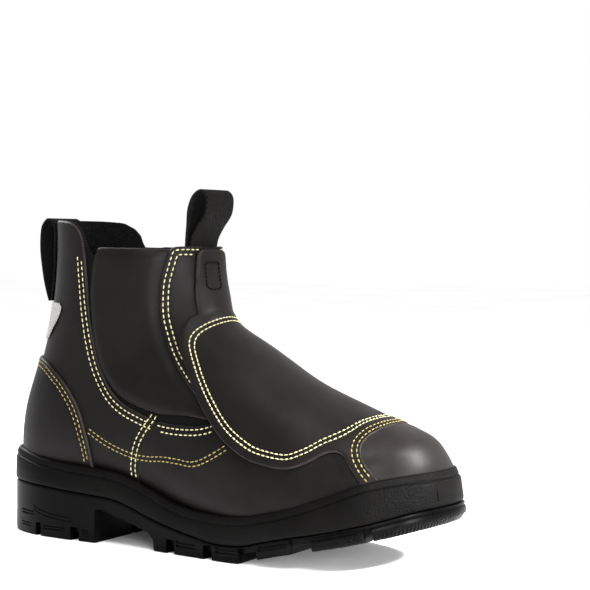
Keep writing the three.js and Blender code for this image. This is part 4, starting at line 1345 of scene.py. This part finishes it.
# Slots in the outsole's side: from and to as shares of the length, low and high in mm above the ground side.
SIDE_SLOTS = [
    (0.07, 0.115, 12.5, 15.5), (0.07, 0.105, 5, 7.5), (0.145, 0.205, 5, 7.5), (0.25, 0.265, 5, 7.5),
    (0.49, 0.54, 5, 8.5), (0.59, 0.64, 5, 8.5), (0.69, 0.75, 4.5, 8), (0.8, 0.88, 6, 9),
]
HEEL_ARC = [(0.115, 18.5), (0.13, 16.8), (0.15, 15.5), (0.172, 14.6), (0.195, 14.0), (0.225, 13.8)]
ARC_WIDTH = 2.4
ARC_LINE = 0.6
ARC_DEPTH = 1.3
NOTCH_HEIGHT = 8.5
NOTCH_REACH = 4
NOTCH_EASE = 0.4
SLOT_DEPTH = 1.6
SLOT_BAR = 0.8


def side_y(x, side):
    """How far the sole reaches to one side at X."""
    column = 1 if side < 0 else 2
    table = np.stack([OUTLINE_ROWS[:, 0], OUTLINE_ROWS[:, column]], -1)
    curve = catmull_rom(table, np.linspace(0, len(table) - 1, 400))
    return float(np.interp(x / SOLE_LENGTH + 0.5, curve[:, 0], curve[:, 1])) * HALF_SOLE


def side_cutter(stops, rise, depth, side):
    """A cutter along the sole's side through stops of X and height over the ground side."""
    outer = 8
    points, faces = [], []
    for x, height in stops:
        y = side_y(x, side)
        z = float(profile("ground", x)) + height
        points += [(x, y + outer * side, z), (x, y - depth * side, z),
                   (x, y - depth * side, z + rise), (x, y + outer * side, z + rise)]
    for start in range(0, 4 * (len(stops) - 1), 4):
        faces += [[start + k, start + (k + 1) % 4, start + 4 + (k + 1) % 4, start + 4 + k] for k in range(4)]
    last = len(points) - 4
    faces += [[0, 3, 2, 1], [last, last + 1, last + 2, last + 3]]
    return points, faces


def joined_cutter(name, parts):
    """Cutters that don't touch each other, as one object."""
    points, faces = [], []
    for part_points, part_faces in parts:
        start = len(points)
        points += part_points
        faces += [[v + start for v in face] for face in part_faces]
    obj = make_object(name, points, faces, OUTSOLE_LOOK)
    recalculate(obj)
    return obj


def make_outsole():
    stations = [
        (from_to(1.3, 3.2), over("ground")), (from_to(0.7, 2.6), over("ground", 0.4)),
        (from_to(0.5, 1.6), over("ground", 1.8)), (from_to(0.5, 1.2), over("ground", 2.9)),
        (from_to(0.5, 0.15), over("ground", 3.3)), (from_to(0.5, 0), over("ground", 4.6)),
        (from_to(0.5, 0), over("border", -4.4)), (from_to(0.5, 0.35), over("border", -3.0)),
        (from_to(0.5, 1.25), over("border", -2.4)), (from_to(0.5, 1.25), over("border", -2.0)),
        (from_to(0.5, 0.8), over("border", -1.6)), (from_to(0.8, 0.9), over("border", -0.5)),
        (from_to(1.6, 1.8), over("border")),
    ]
    points, faces = rings_mesh([ring(inset, height) for inset, height in stations])
    sole = make_object("outsole_rubber", points, faces, OUTSOLE_LOOK)
    recalculate(sole)
    breast, tread = ARCH_EDGE[0][0], ARCH_EDGE[-1][0]
    arch = [(breast, -0.2), *smooth(ARCH_EDGE, 4), (tread + 0.005, -0.2)]
    outline = [(float(x_at(along)), up * HEEL_HEIGHT) for along, up in arch]
    cut(sole, prism_cutter("arch", outline))
    crossing = []
    for along, width in CROSS_CHANNELS:
        x = float(x_at(along))
        low = tuple(float(profile("ground", x + side * width / 2)) for side in (-1, 1))
        crossing.append(block(
            x - width / 2, x + width / 2, -FAR, FAR, tuple(z - LUG_DEPTH for z in low), tuple(z + LUG_DEPTH for z in low)))
    cut(sole, box_cutter("cross", crossing))
    lengthwise = []
    for start, end, side in LONG_CHANNELS:
        stops = np.linspace(float(x_at(start)), float(x_at(end)), 9)
        middle = side * HALF_SOLE
        bottom = [float(profile("ground", x)) for x in stops]
        outline = [(x, z - LUG_DEPTH) for x, z in zip(stops, bottom)]
        outline += [(x, z + LUG_DEPTH) for x, z in zip(stops[::-1], bottom[::-1])]
        lengthwise.append((outline, middle))
    for outline, middle in lengthwise:
        cut(sole, prism_cutter("long", outline, middle - CHANNEL_WIDTH / 2, middle + CHANNEL_WIDTH / 2))
    for side in (-1, 1):
        details = []
        for start, end, low, high in SIDE_SLOTS:
            rise = (high - low - SLOT_BAR) / 2
            for height in (low, high - rise):
                details.append(side_cutter([(float(x_at(along)), height) for along in (start, end)], rise, SLOT_DEPTH, side))
        for along, width in CROSS_CHANNELS:
            half = width / 2 + NOTCH_EASE
            stops = [(float(x_at(along)) - half, -LUG_DEPTH), (float(x_at(along)) + half, -LUG_DEPTH)]
            details.append(side_cutter(stops, NOTCH_HEIGHT + LUG_DEPTH, NOTCH_REACH, side))
        for aside in (0, ARC_WIDTH):
            stops = [(float(x_at(along)), height - aside) for along, height in HEEL_ARC]
            details.append(side_cutter(stops, ARC_LINE, ARC_DEPTH, side))
        cut(sole, joined_cutter("side", details))
    mark_rubber(sole, knurled=True)
    sole.data.shade_smooth()
    sole.data.set_sharp_from_angle(angle=math.radians(35))
    dress(sole, "outsole_rubber", "outsole")


def prism_cutter(name, outline, y0=-FAR, y1=FAR):
    count = len(outline)
    points = [(x, y, z) for y in (y0, y1) for x, z in outline]
    faces = [list(range(count)), [count + k for k in reversed(range(count))]]
    faces += [[k, count + k, count + (k + 1) % count, (k + 1) % count] for k in range(count)]
    obj = make_object(name, points, faces, OUTSOLE_LOOK)
    recalculate(obj)
    return obj


def level_line(height, offset):
    """The closed line round the last, grown by an offset, where it passes a height of the sole."""
    grown = GRID_POINTS + last_normal(S_MESH, ANGLE_MESH) * offset
    field = grown[..., 2] - height(grown[..., 0])
    chain = max(contour(field), key=len)
    return last_point(chain[:, 0], chain[:, 1]) + last_normal(chain[:, 0], chain[:, 1]) * offset


def mark_rubber(obj, knurled):
    """Marks the stippled toe band, or the knurled lower edge of the toe."""
    line = ring(0, over("ground"))
    flat = line * (1, 1, 0)
    tree = tree_of(flat)
    length = np.concatenate([[0], np.cumsum(np.linalg.norm(np.diff(flat, axis=0), axis=1))])
    places = np.array([v.co for v in obj.data.vertices]) / MM - (0, SHIFT_Y, 0)
    around = [length[tree.find((x, y, 0))[1]] for x, y, z in places]
    toe = smoothstep(places[:, 0], x_at(0.8), x_at(0.95))
    over_ground = places[:, 2] - profile("ground", places[:, 0])
    add_values(obj, "around", around)
    add_values(obj, "knurl", toe * (over_ground > 0.2) * (over_ground < 3.5) * knurled)
    add_values(obj, "stipple", toe * (not knurled))


def toe_slit():
    """The parting line across the midsole's band at the toe."""
    along, out, half, reach, depth = 0.99, -0.17, 0.4, 4, 1.2
    x = float(x_at(along))
    foot = np.array([x, out * HALF_SOLE])
    line = sole_outline(0)
    k = int(np.argmin(np.linalg.norm(line - foot, axis=1)))
    tangent = (line[k + 1] - line[k - 1]) / np.linalg.norm(line[k + 1] - line[k - 1])
    outward = np.array([tangent[1], -tangent[0]])
    corners = [line[k] + tangent * a + outward * b for a, b in ((-half, -depth - 1.6), (half, -depth - 1.6), (half, reach), (-half, reach))]
    low, high = float(profile("border", x)) + 3.2, float(profile("rim", x)) + 2
    points = [(a, b, z) for z in (low, high) for a, b in corners]
    obj = make_object("slit", points, [[0, 3, 2, 1], [4, 5, 6, 7], [0, 1, 5, 4], [1, 2, 6, 5], [2, 3, 7, 6], [3, 0, 4, 7]], MIDSOLE_LOOK)
    recalculate(obj)
    return obj


def make_midsole():
    stations = [
        (from_to(1.8, 2.8), over("border", GAP)), (from_to(0.5, 1.8), over("border", 0.7)),
        (from_to(0.1, 1.5), over("border", 1.6)), (from_to(0, 1.5), over("border", 3)),
        (from_to(0.3, 1.6, 1.4), rim(-6.6)), (from_to(0.8, 1.9, 1.8), rim(-5.4)),
        (from_to(1.5, 2.6, 1.9), rim(-5.0)), (from_to(1.5, 2.6, 2.0), rim(-4.6)),
        (from_to(1.0, 2.1, 2.2), rim(-4.1)), (from_to(1.1, 2.1, 2.8), rim(-2.6)),
        (from_to(1.7, 2.4, 3.0), rim(-1.2)), (from_to(2.4, 3.0, 3.0), rim(-0.4)),
        (from_to(3.4, 3.8, 3.0), rim()), (from_to(4.6, 4.8, 2.8), rim()),
    ]
    rings = [ring(inset, height) for inset, height in stations]
    wall_line = level_line(rim(), FIRST_LAYER)
    tree = tree_of(np.column_stack([wall_line[:, :2], np.zeros(len(wall_line))]))
    start = ring(5, rim())
    inner = np.array([wall_line[tree.find((x, y, 0))[1]] for x, y, z in start])
    for drop in (1.0, TUCK + 4.0):
        rings.append(np.column_stack([inner[:, :2], rim(-drop)(inner[:, 0])]))
    points, faces = rings_mesh(rings)
    obj = make_object("midsole_rubber", points, faces, MIDSOLE_LOOK)
    recalculate(obj)
    cut(obj, toe_slit())
    mark_rubber(obj, knurled=False)
    obj.data.shade_smooth()
    obj.data.set_sharp_from_angle(angle=math.radians(40))
    dress(obj, "midsole_rubber", "midsole")


def make_insole():
    line = level_line(over("footbed", 2.5), -WALL - GAP)
    tree = tree_of(np.column_stack([line[:, :2], np.zeros(len(line))]))
    start = ring(12, over("footbed"))
    edge = np.array([line[tree.find((x, y, 0))[1]][:2] for x, y, z in start])
    rings = []
    for inset, height in ((0.4, GAP), (0, GAP + 0.6), (0, INSOLE_THICKNESS - 0.5), (0.8, INSOLE_THICKNESS + GAP)):
        middle = edge.mean(axis=0)
        towards = middle - edge
        towards /= np.linalg.norm(towards, axis=1, keepdims=True)
        shape = edge + towards * inset
        rings.append(np.column_stack([shape, profile("footbed", shape[:, 0]) + height]))
    points, faces = rings_mesh(rings)
    obj = make_object("insole_felt", points, faces, FELT_LOOK)
    recalculate(obj)
    dress(obj, "lining_felt", "insole")


def make_gores():
    for side, keep in (("lateral", is_lateral), ("medial", ~is_lateral)):
        field = np.minimum(side_field([*smooth(FLAP_EDGE), *smooth(FLAP_FRONT)]), collar_field)
        distance = np.where(keep, field - 1.5, -np.abs(field))
        obj = sheet_piece(
            "gore_elastic_" + side, distance, (0, 0.5), constant(-WALL + 0.2), constant(-0.4), [ELASTIC_LOOK])
        dress(obj, "elastic", "gore_" + side)


# Camera
CAMERA = {"turn": 30.47, "pixels": 590, "focal": 1608.5, "distance": 1002.7, "height": 185.1, "along": 43.47}
HORIZON_PIXEL = 245.4
SENSOR = 36


def make_camera():
    turn = math.radians(CAMERA["turn"])
    right = np.array([math.cos(turn), math.sin(turn), 0])
    towards = np.array([math.sin(turn), -math.cos(turn), 0])
    place = right * CAMERA["along"] + towards * CAMERA["distance"] + (0, SHIFT_Y, CAMERA["height"])
    data = bpy.data.cameras.new("camera")
    data.sensor_width = SENSOR
    data.lens = SENSOR * CAMERA["focal"] / CAMERA["pixels"]
    data.shift_y = (HORIZON_PIXEL - CAMERA["pixels"] / 2) / CAMERA["pixels"]
    camera = bpy.data.objects.new("camera", data)
    camera.location = place * MM
    camera.rotation_euler = (math.pi / 2, 0, turn)
    bpy.context.scene.collection.objects.link(camera)
    bpy.context.scene.camera = camera


def make_stage():
    material, tree, shader = new_material("pale_floor")
    tree.links.new(ramp(tree, noise(tree, 3, 2), (0.97, 0.97, 0.97), (1.0, 1.0, 1.0)), shader.inputs["Base Color"])
    shader.inputs["Roughness"].default_value = 0.9
    shader.inputs["Specular IOR Level"].default_value = 0.0
    size = 6000
    floor = make_object("floor", [(-size, -size, 0), (size, -size, 0), (size, size, 0), (-size, size, 0)],
                        [[0, 1, 2, 3]], material)


LIGHTS = [
    {"name": "key", "at": (450, -600, 1250), "size": 500, "power": 12},
    {"name": "toe", "at": (1000, 240, 720), "size": 300, "power": 850, "aim": (150, 0, 50), "cone": 10},
    {"name": "back", "at": (-900, 250, 700), "size": 450, "power": 12},
    {"name": "strap", "at": (900, -900, 300), "size": 300, "power": 8},
    {"name": "bumper", "at": (1200, -330, 150), "size": 220, "power": 15},
]


def make_lights():
    for light in LIGHTS:
        cone = light.get("cone")
        lamp = bpy.data.lights.new(light["name"], "SPOT" if cone else "AREA")
        lamp.energy = light["power"]
        if cone:
            lamp.shadow_soft_size = light["size"] / 2 * MM
            lamp.spot_size = math.radians(cone)
            lamp.spot_blend = 1
        else:
            lamp.size = light["size"] * MM
        place = Vector(light["at"]) * MM
        aim = Vector(light.get("aim", (0, 0, 90))) * MM
        obj = bpy.data.objects.new(light["name"], lamp)
        obj.location = place
        obj.rotation_euler = (aim - place).to_track_quat("-Z", "Y").to_euler()
        bpy.context.scene.collection.objects.link(obj)
    world = bpy.data.worlds.new("studio")
    world.use_nodes = True
    world.node_tree.nodes["Background"].inputs["Color"].default_value = (1, 1, 1, 1)
    world.node_tree.nodes["Background"].inputs["Strength"].default_value = 1.0
    bpy.context.scene.world = world
    bpy.context.scene.view_settings.view_transform = "Standard"


make_camera()
make_stage()
make_lights()
make_upper()
make_gores()
make_leather()
make_guard()
make_webbing()
make_all_stitches()
make_outsole()
make_midsole()
make_insole()
